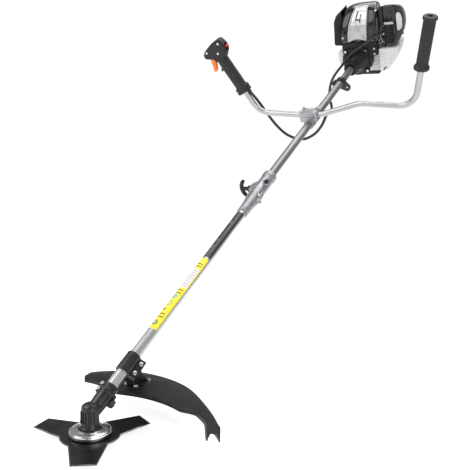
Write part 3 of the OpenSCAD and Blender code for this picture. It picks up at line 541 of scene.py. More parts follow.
def sweep(path, radius, sides=16):
    """A round rod along a path; radius is one number or one for each point."""
    path = [Vector(p) for p in path]
    radii = radius if isinstance(radius, (list, tuple)) else [radius] * len(path)
    rings = []
    normal = None
    for i, p in enumerate(path):
        t = (path[min(i + 1, len(path) - 1)] - path[max(i - 1, 0)]).normalized()
        if normal is None:
            normal = t.orthogonal().normalized()
        normal = (normal - t * normal.dot(t)).normalized()
        other = t.cross(normal)
        rings.append([p + radii[i] * (math.cos(a) * normal + math.sin(a) * other)
                      for a in (2 * math.pi * k / sides for k in range(sides))])
    return stack(rings)


def hexagon(across_flats, height, dish=0.6):
    """A hexagon head with a chamfered top."""
    r = across_flats / math.sqrt(3)
    return prism(circle(r, 6), 0, height, 0, dish, 2)


def joined(*parts):
    """Several meshes as one; each part is a bmesh or (bmesh, place)."""
    made = bmesh.new()
    for part in parts:
        bm, place = part if isinstance(part, tuple) else (part, Matrix())
        bm.transform(place)
        mesh = bpy.data.meshes.new("part")
        bm.to_mesh(mesh)
        made.from_mesh(mesh)
        bm.free()
        bpy.data.meshes.remove(mesh)
    return made


def at(x, y, z=0.0):
    return Matrix.Translation((x, y, z))


def curve_through(points, steps):
    """Catmull-Rom curve through the points, as part.scad draws the cable."""
    p = [Vector(v) for v in points]
    made = []
    for i in range(len(p) - 1):
        a, b, c, d = p[max(i - 1, 0)], p[i], p[i + 1], p[min(i + 2, len(p) - 1)]
        for k in range(steps):
            t = k / steps
            made.append(0.5 * (2 * b + (c - a) * t + (2 * a - 5 * b + 4 * c - d) * t * t
                               + (3 * b - a - 3 * c + d) * t ** 3))
    return made + [p[-1]]


def piece(name, bm, place, body, look, crease=34, edge=0.0, stands_for=()):
    """Makes one object from a bmesh, in the CAD frame, riding on a body."""
    bm.transform(place)
    bmesh.ops.recalc_face_normals(bm, faces=bm.faces)
    mesh = bpy.data.meshes.new(name)
    bm.to_mesh(mesh)
    bm.free()
    mesh.polygons.foreach_set("use_smooth", [True] * len(mesh.polygons))
    mesh.set_sharp_from_angle(angle=math.radians(crease))
    mesh.materials.append(LOOK[look])
    obj = bpy.data.objects.new(name, mesh)
    scene.collection.objects.link(obj)
    if edge:
        round_edges(obj, edge)
    if body:
        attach(obj, body)
    if stands_for:
        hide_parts(*stands_for)
    return obj


def round_edges(obj, width):
    bevel = obj.modifiers.new("edges", "BEVEL")
    bevel.width = width * MM
    bevel.segments = 2
    bevel.limit_method = "ANGLE"
    bevel.angle_limit = math.radians(32)


def thicken(obj, thickness, offset=-1):
    """Gives a sheet a wall, behind its faces or, with offset 1, in front of them."""
    wall = obj.modifiers.new("wall", "SOLIDIFY")
    wall.thickness = thickness * MM
    wall.offset = offset


def placed(bm, place):
    """Moves a mesh to its place and returns it."""
    bm.transform(place)
    return bm


def carve(obj, *cutters):
    """Cuts bmesh solids, already in the CAD frame, out of a piece one after the other."""
    for bm in cutters:
        bmesh.ops.recalc_face_normals(bm, faces=bm.faces)
        mesh = bpy.data.meshes.new("cutter")
        bm.to_mesh(mesh)
        bm.free()
        cutter = bpy.data.objects.new("cutter", mesh)
        scene.collection.objects.link(cutter)
        cut = obj.modifiers.new("cut", "BOOLEAN")
        cut.object = cutter
        cut.solver = "EXACT"
        cut.operation = "DIFFERENCE"
        bpy.context.view_layer.update()
        graph = bpy.context.evaluated_depsgraph_get()
        old = obj.data
        obj.data = bpy.data.meshes.new_from_object(obj.evaluated_get(graph))
        obj.modifiers.clear()
        bpy.data.objects.remove(cutter)
        bpy.data.meshes.remove(old)


def reshape(obj, rule):
    """Moves a piece's points by a rule written for the pole frame, in millimetres."""
    inverse = ROW.inverted()
    for v in obj.data.vertices:
        p = inverse @ v.co
        rule(p)
        v.co = ROW @ p


def box_at(x0, x1, y0, y1, z0, z1):
    return prism([(x0, y0), (x1, y0), (x1, y1), (x0, y1)], z0, z1)


def finish_node(node, look, edge=0.6):
    """A CAD node that stays: its material and softened edges."""
    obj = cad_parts[node]
    if not obj.data.materials:
        obj.data.materials.append(LOOK[look])
    for i in range(len(obj.data.materials)):
        obj.data.materials[i] = LOOK[look]
    if edge:
        round_edges(obj, edge)


# ------------------------------------------------------------------ throttle cable

CABLE_R = 4.8
# the route of part.scad, in metres of the pole frame
CABLE_ROUTE = [
    (-0.226, 1.246, 0.149), (-0.218, 1.246, 0.131), (-0.212, 1.246, 0.119),
    (-0.206, 1.249, 0.104), (-0.197, 1.256, 0.080), (-0.187, 1.263, 0.050),
    (-0.174, 1.270, 0.012), (-0.154, 1.276, -0.032), (-0.128, 1.279, -0.066),
    (-0.096, 1.280, -0.085), (-0.066, 1.280, -0.090), (-0.038, 1.279, -0.082),
    (-0.004, 1.277, -0.060), (0.024, 1.276, -0.028), (0.040, 1.279, 0.000),
    (0.046, 1.294, 0.008), (0.042, 1.320, 0.002), (0.030, 1.360, -0.014),
    (0.010, 1.410, -0.023), (-0.014, 1.460, -0.024), (-0.032, 1.510, -0.015),
    (-0.042, 1.570, 0.000), (-0.042, 1.625, 0.008), (-0.036, 1.668, 0.014),
    (-0.024, 1.700, 0.029), (-0.002, 1.723, 0.047), (0.028, 1.737, 0.062),
    (0.062, 1.741, 0.082), (0.090, 1.743, 0.096), (0.104, 1.752, 0.100),
    (0.107, 1.768, 0.100), (0.107, 1.783, 0.100),
]


def make_cable():
    route = curve_through([Vector(p) / MM for p in CABLE_ROUTE], 4)
    cable = piece("throttle_cable_sheath", sweep(route, CABLE_R, 14), ROW, None,
                  "cable_rubber", stands_for=["throttle_cable"])
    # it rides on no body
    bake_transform(cable)


make_cable()

# ------------------------------------------------------------------ blade

BLADE_MID = -43
HUB_R = 61
TOOTH_ANGLES = (-52, 68, 188)
TOOTH_TIP = (125.2, 24)
TOOTH_ROOT = (48, 37.6)


def blade_outline():
    root_angle = math.degrees(math.atan2(TOOTH_ROOT[1], TOOTH_ROOT[0]))
    made = []
    for a in TOOTH_ANGLES:
        turn = Matrix.Rotation(math.radians(a), 2)
        for x, y in ((TOOTH_ROOT[0], -TOOTH_ROOT[1]), (TOOTH_TIP[0], -TOOTH_TIP[1]),
                     (TOOTH_TIP[0], TOOTH_TIP[1]), (TOOTH_ROOT[0], TOOTH_ROOT[1])):
            made.append(tuple(turn @ Vector((x, y))))
        for k in range(1, 8):
            t = math.radians(a + root_angle + (120 - 2 * root_angle) * k / 8)
            made.append((HUB_R * math.cos(t), HUB_R * math.sin(t)))
    return made


def make_blade():
    outline = blade_outline()
    inner = inset(outline, 2.6)
    levels = [(inner, -1.5), (outline, -0.2), (outline, 0.2), (inner, 1.5)]
    bm = stack([[(x, y, z) for x, y in ring] for ring, z in levels])
    blade = piece("blade_ground", bm, HEAD @ at(0, 0, BLADE_MID), "cutter", "blade_steel",
                  crease=8, stands_for=["blade"])
    blade.data.materials.append(LOOK["ground_edge"])
    up = (HEAD.to_3x3() @ Vector((0, 0, 1))).normalized()
    for face in blade.data.polygons:
        if abs(face.normal.dot(up)) < 0.995:
            face.material_index = 1


def make_cup():
    top = BLADE_MID + 1.5
    bm = lathe([(6, top - 2.4), (12.6, top - 2.4), (12.6, top), (37.4, top), (38, top + 0.6),
                (38, top + 1.5), (41.8, top + 1.6), (43, top + 2.6), (43, -34.2), (42.5, -33.2),
                (41.6, -32.6), (40.6, -32.4), (39.6, -31.0), (38.6, -30.5), (31, -28.4),
                (30.4, -28.9), (29.6, -28.9), (29, -27.9), (25.4, -26.7), (24.5, -27.2),
                (24.5, -31.5), (6, -31.5)], 96)
    piece("cup_turned", bm, HEAD, "cutter", "cup_chrome", crease=24,
          stands_for=["blade_holder"])


def make_under_blade():
    low = BLADE_MID - 1.5
    bm = joined(lathe([(6, low), (27, low), (27, low - 3.4), (25.6, low - 5), (6, low - 5)], 72),
                lathe([(11.5, low - 5), (13.5, low - 5), (13.5, low - 5.6), (11.5, low - 5.6)]))
    piece("washer_pressed", bm, HEAD, "cutter", "machined_steel", stands_for=["clamp_washer"])
    finish_node("blade_nut", "bolt_zinc", 0.5)
    finish_node("output_spindle", "machined_steel", 0.4)
    finish_node("output_gear", "iron_grey", 0)


# ------------------------------------------------------------------ gear head

def make_gear_head():
    body = lathe([(0, -29.9), (22.5, -29.9), (22.5, -25), (20.8, -22.5), (18.6, -19.5),
                  (17.5, -16), (17.5, 9.5), (18.6, 10.4), (18.6, 12.4), (17.8, 13.2),
                  (17.8, 17.4), (16.4, 19.8), (12.4, 22), (11.6, 22.9), (0, 23)], 72)
    fins = [(prism(rectangle(3.4, 1.6, 18.2), -15, 8), Matrix.Rotation(a, 4, "Z"))
            for a in (math.radians(-160 + 20 * k) for k in range(8))]
    grease = (hexagon(8, 4), at(-17.5, 0, -2) @ Matrix.Rotation(-math.pi / 2, 4, "Y"))
    fin = box_at(-26, -16, -3, 3, -25, -17)
    piece("head_body", joined(body, fin, *fins, grease), HEAD, "main", "head_black", edge=0.5,
          stands_for=["gear_case"])
    neck = lathe([(13.05, 72), (16.6, 72), (17.4, 71), (17.4, 60), (18.4, 58.6), (18.4, 52),
                  (17.4, 50.6), (17.2, 34), (16.6, 28), (15.5, 8), (0, 8), (0, 45), (13.05, 45)],
                 72)
    ear = prism(softened(rectangle(12, 26, -9, 56), 3), 8, 17.6, 0, 1)
    lug = prism(softened([(6, 36), (18, 36), (20, 42), (18, 53), (6, 53)], 2), -22, -6, 1, 1)
    boss = prism(circle(5.2, 24), 0, 8, 0, 1)
    piece("head_neck", joined((neck, BACK_TURN), ear, lug,
                              (boss, at(16, 50, -8) @ BACK_TURN)),
          ROW, "main", "head_black", edge=0.6)
    for node in ("pinion_gear", "gear_bearings", "lower_drive_shaft", "upper_drive_shaft"):
        finish_node(node, "machined_steel", 0)
    finish_node("shaft_bushes", "nylon_white", 0)


GUARD_S = (112, 159)  # stations of the guard clamp's ends
CLAMP_TURN = Matrix.Rotation(math.radians(35), 4, "Y")


def make_head_bolts():
    """Socket-headed and hexagon bolts of the case, the clamp and the guard foot."""
    parts = []
    for s in (50, 64):
        socket = lathe([(2, 0), (4, 0), (4, 3), (3.5, 3.6), (2.2, 3.6), (2, 1.4), (0, 1.4),
                        (0, 0)], 24)
        parts.append((socket, at(-9, s, 17.2)))
    for s in (GUARD_S[0] + 10, GUARD_S[1] - 12):
        parts.append((joined(hexagon(9.6, 4), (prism(circle(3, 16), -13, -0.1), Matrix()),
                             (hexagon(9.4, 3), at(0, 0, -13.2))),
                      CLAMP_TURN @ at(24, s, 5)))
    for x, y in ((-20, 134), (6, 134), (6, 178), (-20, 178)):
        washer = lathe([(3.2, 0), (5.4, 0), (5.4, 0.8), (3.2, 0.8)], 24)
        parts.append((joined(washer, (hexagon(9, 3.6), at(0, 0, 0.8)),
                             (prism(circle(3, 16), -12, 0), Matrix())), HEAD_TURN @ at(x, y, 16)))
    piece("head_bolt_set", joined(*parts), ROW, "main", "bolt_zinc", crease=28,
          stands_for=["head_bolts"])


# ------------------------------------------------------------------ guard

GUARD_R = 230
GUARD_TOP = 9
GUARD_ENDS = (17, 138)


def guard_outer(a):
    if a < 54:
        return GUARD_R + 0.03 * (54 - a) ** 2
    return GUARD_R - 0.012 * max(0, a - 100) ** 2 - 5 * max(0, a - 134)


def guard_inner(a):
    if a > 108:
        return 104 + 2.3 * (a - 108)
    return 104 + 0.0142 * (108 - a) ** 2 + 22 * ramp(a, 36, 30)


def hem(x):
    """Height of the skirt's lower edge: it dips to the right and lifts at the end."""
    dip = -16.8 - 0.0853 * x
    return max(dip, -33 + 0.165 * (x - 190)) if x > 190 else dip


def ramp(value, start, end):
    """A smooth rise from 0 at start to 1 at end."""
    t = min(1, max(0, (value - start) / (end - start)))
    return t * t * (3 - 2 * t)


def guard_section(a):
    """The shell's profile (radius, height) at an angle round the blade axis."""
    inner = guard_inner(a)
    outer = guard_outer(a)
    width = outer - inner
    top = GUARD_TOP + 3
    crown = 4 * ramp(width, 20, 90)
    shoulder = min(9, width * 0.3)
    leg = hem(inner * math.cos(math.radians(a))) + 3
    lip_low = (top - 10) + (leg - top + 10) * ramp(a, 20.5, 18.5)
    section = [(inner, lip_low), (inner, top - 3), (inner + 0.6, top - 1),
               (inner + 2.4, top - 0.2)]
    for k in range(1, 10):
        t = k / 10
        section.append((inner + 2.4 + (width - 2.4 - shoulder) * t,
                        top + crown * math.sin(math.pi * t)))
    for k in range(6):
        t = math.pi / 2 * k / 5
        section.append((outer - shoulder + shoulder * math.sin(t),
                        top - shoulder + shoulder * math.cos(t)))
    section.append((outer, hem(outer * math.cos(math.radians(a)))))
    return section


def make_guard():
    """A moulded shell: rolled inner lip, crowned top, round shoulder and outer skirt."""
    rows = []
    steps = 72
    for i in range(steps + 1):
        a = GUARD_ENDS[0] + i * (GUARD_ENDS[1] - GUARD_ENDS[0]) / steps
        turn = math.radians(a)
        rows.append([(r * math.cos(turn), r * math.sin(turn), z) for r, z in guard_section(a)])
    guard = piece("guard_shell", sheet(rows), HEAD, "main", "guard_black", crease=40,
                  stands_for=["guard"])
    thicken(guard, 3)
    round_edges(guard, 0.7)


def make_guard_ribs():
    """The bead along the skirt, the underside ribs and the web across the right-hand end."""
    bead = []
    for k in range(41):
        a = 24 + 106 * k / 40
        r = guard_outer(a) - 0.4
        x = r * math.cos(math.radians(a))
        bead.append((x, r * math.sin(math.radians(a)), hem(x) + 2.2))
    parts = [sweep(bead, 1.2, 8)]
    for a in (40, 62, 84, 106, 124):
        rib = box_at(guard_inner(a) + 8, guard_outer(a) - 8, -1.2, 1.2, 1, 10)
        parts.append((rib, Matrix.Rotation(math.radians(a), 4, "Z")))
    web = prism([(244, 9), (244, -24), (251, -8), (263, -8), (270, -24), (270, 9)],
                -1.5, 1.5)
    parts.append((web, Matrix.Rotation(math.radians(GUARD_ENDS[0] + 0.5), 4, "Z")
                  @ FRONT_TURN))
    piece("guard_ribs", joined(*parts), HEAD, "main", "guard_black", edge=0.5)


def make_bracket():
    """Both halves of the guard's clamp, and the webs beside its block."""
    for node in ("guard_bracket", "guard_clamp_cap"):
        finish_node(node, "head_black", 0.9)
    parts = []
    for x in (-12.8, -1.2):
        web = prism(softened([(112, 44), (131, 16), (181, 16), (152, 52), (140, 66)], 3),
                    -1.2, 1.2)
        parts.append((web, HEAD_TURN @ at(x, 0, 0) @ SIDE_TURN))
    piece("bracket_webs", joined(*parts), ROW, "main", "head_black", edge=0.6)


# ------------------------------------------------------------------ lower pole and label

def wrapped_band(u0, u1, s0, s1, r, corner=0.0):
    """A patch of film on the tube, fine enough round it to follow the curve."""
    steps = max(2, int((u1 - u0) / 1.2))
    rows = []
    for k in range(steps + 1):
        u = u0 + (u1 - u0) * k / steps
        cut = 0.0
        if corner:
            near = min(u - u0, u1 - u)
            if near < corner:
                cut = corner - math.sqrt(max(0, corner ** 2 - (corner - near) ** 2))
        a = u / POLE_R
        rows.append([(r * math.cos(a), s, r * math.sin(a)) for s in (s0 + cut, s1 - cut)])
    return sheet(rows)


def wrapped_ring(u, s, outer, inner, r):
    """A ring of film on the tube round a point u across and s along."""
    rows = []
    steps = 24
    for k in range(steps):
        t = 2 * math.pi * k / steps
        pair = []
        for q in (outer, inner):
            a = (u + q * math.cos(t)) / POLE_R
            pair.append((r * math.cos(a), s + q * math.sin(t), r * math.sin(a)))
        rows.append(pair)
    return sheet(rows, closed=True)


def film(name, parts, look):
    piece(name, joined(*parts), ROW, "main", look, crease=60)


LABEL_U = (6, 40)  # millimetres round the tube that the label covers


def make_lower_pole():
    finish_node("lower_tube", "pole_silver", 0.3)
    u0, u1 = LABEL_U
    base = POLE_R + 0.12
    mark = POLE_R + 0.2
    film("label_base", [wrapped_band(u0, u1, 234, 486, base, 2)], "label_yellow")
    film("label_panel", [wrapped_band(u0 + 3, u1 - 3, 373, 443, mark, 2)], "label_white")
    # plain marks: discs, rings and bars with no meaning
    middle = (u0 + u1) / 2
    rings = [wrapped_ring(middle, s, 8, 5.6, mark) for s in (252, 318, 340)]
    discs = [wrapped_ring(middle, s, 4, 0.05, mark) for s in (252, 296, 340)]
    bars = [wrapped_band(u0 + 6, u1 - 6, s, s + 3, mark) for s in (270, 280, 352, 362, 452, 461)]
    lines = [wrapped_band(u0 + 6, u1 - 8 - 3 * (k % 3), 379 + 8 * k, 381.4 + 8 * k, mark + 0.08)
             for k in range(8)]
    film("label_dark_marks", rings[:1] + discs[1:2] + bars, "label_black")
    film("label_teal_marks", rings[1:] + discs[:1] + discs[2:], "label_teal")
    film("label_lines", lines, "label_grey")
    film("label_dark_band", [wrapped_band(u0 - 2, u1 + 2, 492, 690, base, 2)], "label_black")
    pale = [wrapped_ring(middle, s, 5, 4, mark) for s in (560, 640)]
    pale += [wrapped_band(middle - 6, middle + 6, 500 + 9 * k, 502 + 9 * k, mark)
             for k in range(5)]
    film("label_pale_marks", pale, "label_grey")


# ------------------------------------------------------------------ coupling

def make_coupling():
    body = lathe([(13.1, 0), (15.6, 0), (16, 1), (16.4, 30), (17.4, 46), (18.8, 62), (19.4, 84),
                  (19.6, 150), (19.6, 176), (20.9, 179), (21.2, 181), (21.2, 186), (20.2, 188),
                  (20.2, 189.4), (21, 190.4), (21, 195), (20, 197), (13.1, 197)], 80)
    parts = [(body, at(0, 700, 0) @ BACK_TURN)]
    # two clamp ears with the slit between them, blended into the body by a web
    ear = softened([(-12, 776), (-19, 790), (-29, 806), (-31, 816), (-31, 830), (-28, 840),
                    (-17, 852), (-12, 858)], 5)
    parts.append(prism(ear, -11, -1.2, 2, 0.4))
    parts.append(prism(ear, 1.2, 11, 0.4, 2))
    # lug on the far side, the seat of the lock pin and two cast ribs
    far = softened([(12, 760), (21, 766), (23, 776), (21, 800), (12, 812)], 4)
    parts.append(prism(far, -7, 7, 2, 2))
    seat = lathe([(4.1, 12), (8.6, 12), (8.6, 21.5), (7.8, 23), (4.1, 23)], 40)
    parts.append((seat, at(0, 838, 0) @ Matrix.Rotation(math.pi / 4, 4, "Y")))
    for turn in (0.5, 2.2, 3.9):
        rib = prism([(15, 735), (20.6, 765), (20.6, 800), (17, 812)], -1.1, 1.1)
        parts.append((rib, Matrix.Rotation(turn, 4, "Y")))
    piece("coupling_casting", joined(*parts), ROW, "main", "cast_alloy", edge=0.7,
          stands_for=["coupling_body"])
    screw = joined((hexagon(9, 5), at(0, 0, 11)), (hexagon(9, 5), at(0, 0, -16)))
    piece("coupling_screws", joined((screw, at(18, 776, 0))), ROW, "main", "bolt_zinc", crease=28)
    finish_node("lock_pin", "black_plastic", 0.8)


# points of a T-bar as shares of its half length, from end to end
BAR_SHARES = [k / 12 - 1 for k in range(25)]


def make_knob():
    """The clamping screw's T-handle: a crescent bar on a fluted hub."""
    bar = [(-61.5 + 13 * t * t + 3 * abs(t) ** 5, KNOB_S, 30 * t) for t in BAR_SHARES]
    thick = [6 * math.sqrt(max(0.02, 1 - abs(t) ** 9)) for t in BAR_SHARES]
    hub = lathe([(0, -58), (5.6, -58), (6, -52), (5.6, -46), (6, -41), (8.6, -39.6),
                 (10, -37.4), (10, -32.6), (8.4, -31.4), (4, -31.2), (4, -16), (0, -16)], 60,
                radius=lambda a, r, z: r * (1 + 0.05 * math.cos(8 * a)) if r > 7 else r)
    piece("knob_moulded", joined(sweep(bar, thick, 18),
                                 (hub, at(0, KNOB_S) @ CROSS_TURN)),
          ROW, "knob", "black_plastic", crease=42, stands_for=["coupling_knob"])


# ------------------------------------------------------------------ handlebar and clamp

def make_clamp():
    finish_node("upper_tube", "pole_grey", 0.3)
    finish_node("handlebar", "bar_silver", 0)
    finish_node("handle_saddle", "cast_alloy", 1.2)
    finish_node("handle_cap", "cast_alloy", 1.6)
    top = 26.5 + BAR_R + 4.4
    bolts = []
    for x in (-24, 24):
        for y in (-15, 15):
            washer = lathe([(3.1, 0), (6, 0), (6, 1.2), (3.1, 1.2)], 28)
            stud = prism(circle(3, 20), -27, 9, 0, 1, 2)
            bolts.append((joined(washer, (hexagon(9.6, 4.6), at(0, 0, 1.2)), stud),
                          at(x, CLAMP_S + y, top)))
    hanger = joined((hexagon(9.6, 4.4), Matrix()), prism(circle(3, 16), -17, 0),
                    (hexagon(9.6, 4), at(0, 0, -21)))
    bolts.append((hanger, at(-24, 1552, 8)))
    piece("clamp_bolt_set", joined(*bolts), ROW, "main", "bolt_zinc", crease=28,
          stands_for=["clamp_bolts"])
    rib = prism(softened(rectangle(40, 8), 3), 0, 2.4, 0, 1)
    ribs = [(rib.copy(), at(0, CLAMP_S + y, top - 0.4)) for y in (-5, 5)]
    rib.free()
    piece("clamp_ribs", joined(*ribs), ROW, "main", "cast_alloy", edge=0.4)


def make_plain_grip():
    """Rubber sleeve with a stepped flange at each end and fine grooves along it."""
    def fluted(a, r, z):
        return r - 0.45 * max(0, math.cos(22 * a)) if 14 < z < 145 and r > 15 else r
    rings = [(9.5, 0), (21.6, 0), (23, 1.6), (23, 8.8), (21.6, 11), (18.8, 12.4), (18, 14.2)]
    for k in range(26):
        z = 16 + 5 * k
        rings += [(18, z), (18, z + 2.6), (17.5, z + 3.2), (17.5, z + 4.4)]
    rings += [(18, 146), (19.2, 147), (21, 148.6), (21, 154), (19.4, 156.6), (8, 157), (8, 152.5),
              (9.5, 152)]
    piece("grip_sleeve", lathe(rings, 132, fluted), PLAIN_GRIP, "handle", "grip_rubber",
          crease=50, stands_for=["plain_grip"])


HEAD_OUTLINE = [(-20, 126), (-22, 139), (-45, 152), (-51, 157), (-52, 165), (-49, 172),
                (-38, 179), (-24, 183), (4, 189), (28, 190), (39, 187), (44, 172), (46, 162),
                (40, 142), (26, 132), (20, 126)]
TRIGGER_POCKET = (-48, -12, 120, 172, -8, 8)
SWITCH_SLOT = (28, 56, 144, 166, -6, 6)
# x to the right and y up the grip, z towards the gear head
GRIP_FACE = THROTTLE_GRIP @ FRONT_TURN


def housing_cuts():
    """Cutters for the trigger's pocket and the switch's slot."""
    return [placed(box_at(*hole), GRIP_FACE) for hole in (TRIGGER_POCKET, SWITCH_SLOT)]


def make_throttle_grip():
    """Both halves of the housing, the seam between them as a sheet of painted shade, the ribbed
    grip and the collar.
    """
    outline = softened(HEAD_OUTLINE, 7, 4)
    for name, z0, z1, low, high, node in (
            ("throttle_half_front", 0.25, 17, 0.5, 7, "throttle_housing_front"),
            ("throttle_half_back", -17, -0.25, 7, 0.5, "throttle_housing_back")):
        half = piece(name, prism(outline, z0, z1, low, high, 6), GRIP_FACE, "handle",
                     "black_plastic", crease=50, stands_for=[node])
        carve(half, *housing_cuts())

    def ribbed(a, r, z):
        return r - 0.7 * max(0, math.sin(40 * a)) if 20 < z < 124 and r > 18 else r
    sleeve = [(9.5, -8), (24.6, -8), (26, -6.4), (26, 1), (24.4, 2.6), (24.4, 4), (26, 5.6),
              (26, 11.6), (24.4, 14), (21.4, 16), (20, 19), (20, 126), (19, 132), (9.5, 132)]
    grip = piece("throttle_sleeve", lathe(sleeve, 160, ribbed), THROTTLE_GRIP, "handle",
                 "grip_rubber", crease=50)
    # the opening for the lockout lever
    carve(grip, placed(box_at(-30, -10.2, 88, 112, -5, 5), GRIP_FACE))
    # the seam is painted shade: a near-black sheet at the bottom of the groove between the halves
    seam = prism(inset(anticlockwise(outline), 0.7), -0.25, 0.25)
    seam = piece("throttle_seam", seam, GRIP_FACE, "handle", "painted_recess_shade")
    carve(seam, *housing_cuts())
    screws = []
    for x, y in ((-30, 172), (30, 176), (8, 150)):
        well = lathe([(2.2, 0), (4.2, 0), (4.2, 0.9), (3.6, 1.2), (2.2, 0.7)], 24)
        screws.append((well, at(x, y, 16.6)))
        screws.append((prism(circle(2.2, 20), 0, 0.8), at(x, y, 16.6)))
    piece("throttle_screws", joined(*screws), GRIP_FACE, "handle", "machined_steel")
    ribs = [box_at(-3 + 6 * k, -1 + 6 * k, 141, 146 - abs(k), 16.4, 17.6) for k in range(-2, 4)]
    piece("throttle_rib_set", joined(*ribs), GRIP_FACE, "handle", "black_plastic", edge=0.3)
    boot = lathe([(4.05, -9), (6.4, -9), (6.6, -12), (5.8, -16), (6, -18), (5.2, -22), (5.3, -24),
                  (4.05, -28)], 28)
    piece("cable_boot", boot, THROTTLE_GRIP @ at(14, 4), "handle", "cable_rubber", crease=60)


def make_levers():
    """Trigger, lockout lever and stop switch with rounded moulded edges."""
    blade = softened([(-36, 163), (-21, 160), (-19, 152), (-28, 132), (-38, 114), (-46, 103.5),
                      (-53.5, 102), (-57, 106), (-51, 119), (-45, 136), (-41, 148)], 4)
    ridges = [box_at(-52.6 + 2.0 * k, -51 + 2.0 * k, 112 + 5 * k, 114 + 5 * k, -4.5, 4.5)
              for k in range(5)]
    piece("trigger_moulded", joined(prism(blade, -6, 6, 2.2, 2.2), *ridges), GRIP_FACE,
          "trigger", "trigger_orange", crease=46, stands_for=["throttle_trigger"])
    hook = softened([(-14, 109), (-22, 105), (-28, 100), (-31, 95), (-30, 91), (-26, 91),
                     (-22, 96), (-14, 103)], 2)
    piece("lockout_moulded", prism(hook, -4, 4, 1, 1), GRIP_FACE, "lockout", "black_plastic",
          crease=46, stands_for=["lockout_lever"])
    slider = joined(prism(softened(rectangle(21.4, 9.6, 39, 155), 1.5), -5.5, 5.5, 1, 1),
                    *[box_at(48.4, 50.8, 151.2 + 2 * k, 152.1 + 2 * k, -4.6, 4.6)
                      for k in range(4)])
    piece("switch_moulded", slider, GRIP_FACE, "switch", "switch_red", crease=46,
          stands_for=["stop_switch"])


# ------------------------------------------------------------------ hanger and clutch housing

FLANGE_BOLT = 41


def make_clutch_housing():
    finish_node("hanger_clamp", "head_black", 1.0)
    finish_node("clutch_housing", "black_plastic", 1.4)
    finish_node("engine_bolts", "bolt_zinc", 0.4)
    parts = []
    for k in range(8):
        web = prism([(1676, 22), (1684, 26.4), (1699, 27), (1716, 34.5), (1746, 49.5),
                     (1746, 44), (1700, 20)], -1.5, 1.5)
        parts.append((web, Matrix.Rotation(math.radians(22.5 + 45 * k), 4, "Y") @ SIDE_TURN))
    for s, r in ((1669, 25.4), (1690, 25.0)):
        band = lathe([(13.4, 0), (r, 0), (r + 0.6, 1), (r + 0.6, 3.4), (r, 4.4), (13.4, 4.4)], 64)
        parts.append((band, at(0, s, 0) @ BACK_TURN))
    for x in (-FLANGE_BOLT, FLANGE_BOLT):
        for n in (-FLANGE_BOLT, FLANGE_BOLT):
            boss = lathe([(6.6, 0), (9, 0), (9, 5), (8.2, 6), (6.6, 6)], 32)
            parts.append((boss, at(x, 1748, n) @ FRONT_TURN))
    piece("clutch_ribs", joined(*parts), ROW, "main", "black_plastic", edge=0.5)


FAN_FACE = front(1756)
FAN_SCREWS = [(75, 46), (75, 26)]


def make_fan_cover():
    """The cover, and stiffening ribs and bosses on its face beside and above the clutch."""
    finish_node("fan_cover", "black_plastic", 2.2)
    parts = [box_at(x - 1.2, x + 1.2, 20, 73, -1, 2.4) for x in (-52, 66)]
    parts.append(box_at(-52, 82, 70.8, 73.2, -1, 2.2))
    for x, n in FAN_SCREWS:
        boss = lathe([(0, -1), (7.4, -1), (7.4, 3), (6.6, 4), (0, 4)], 32)
        parts.append((boss, at(x, n)))
    piece("fan_cover_ribs", joined(*parts), FAN_FACE, "main", "black_plastic", edge=0.5)
    screws = [(hexagon(8, 3.4), at(x, n, 4)) for x, n in FAN_SCREWS]
    piece("fan_cover_screws", joined(*screws), FAN_FACE, "main", "bolt_zinc", crease=28)


# ------------------------------------------------------------------ engine cover

COVER_BASE = 76
COVER_TOP = 204
COVER_SIDE = [(1750, 76), (1750, 90), (1750.6, 104), (1753, 118), (1760, 137), (1771, 156),
              (1787, 175), (1806, 190), (1828, 200), (1848, 204), (1864, 204), (1874, 200),
              (1880, 192), (1882, 180), (1882, 128), (1882, 76)]
COVER_LEFT, COVER_RIGHT = -56, 98
COVER_ROUND = 11
COVER_ROOF = [(-56, 172), (-50, 186), (-40, 194), (-28, 199), (-14, 202), (6, 204), (74, 204),
              (86, 200), (94, 192), (98, 182)]


def between(points, x):
    """Piecewise-linear value at x of a list of (x, value)."""
    for (x0, v0), (x1, v1) in zip(points, points[1:]):
        if x <= x1:
            return v0 + (v1 - v0) * max(0, (x - x0) / (x1 - x0))
    return points[-1][1]


def cover_face(n):
    """Station of the cover's front face at height n."""
    return between([(v, s) for s, v in COVER_SIDE[:10]], n)


def cover_ring(x, depth):
    """The side outline at x, drawn in by depth and kept under the roof line."""
    roof = between(COVER_ROOF, x)
    scale = (roof - COVER_BASE) / (COVER_TOP - COVER_BASE)
    ring = []
    outline = inset(anticlockwise(COVER_SIDE), depth) if depth else anticlockwise(COVER_SIDE)
    for s, n in outline:
        height = max(0, n - COVER_BASE)
        ring.append((x, s, COVER_BASE + height * scale))
    return ring


def hood_taper(p):
    """The hood draws in towards the back, above and on the right."""
    back = max(0, p.y - 1800) / 82
    p.z -= max(0, p.z - COVER_BASE) * 0.12 * back
    p.x -= max(0, p.x - 40) * 0.4 * back


def cover_rings():
    """The hood's side outlines, drawn in at both sides.

    They run from left to right, but those of the right-hand rounding run back inwards, so
    the surface folds there and the side face sits COVER_ROUND too far in.
    """
    turns = [math.pi / 2 * k / 5 for k in range(6)]
    depths = [COVER_ROUND * (1 - math.cos(math.pi / 2 - a)) for a in turns]
    rings = [cover_ring(COVER_LEFT + COVER_ROUND * (1 - math.sin(math.pi / 2 - a)), depth)
             for a, depth in zip(turns, depths)]
    steps = 28
    for k in range(1, steps):
        x = COVER_LEFT + COVER_ROUND + (COVER_RIGHT - COVER_LEFT - 2 * COVER_ROUND) * k / steps
        rings.append(cover_ring(x, 0))
    return rings + [cover_ring(COVER_RIGHT - COVER_ROUND * (1 - math.cos(a)), depth)
                    for a, depth in zip(turns, depths)]


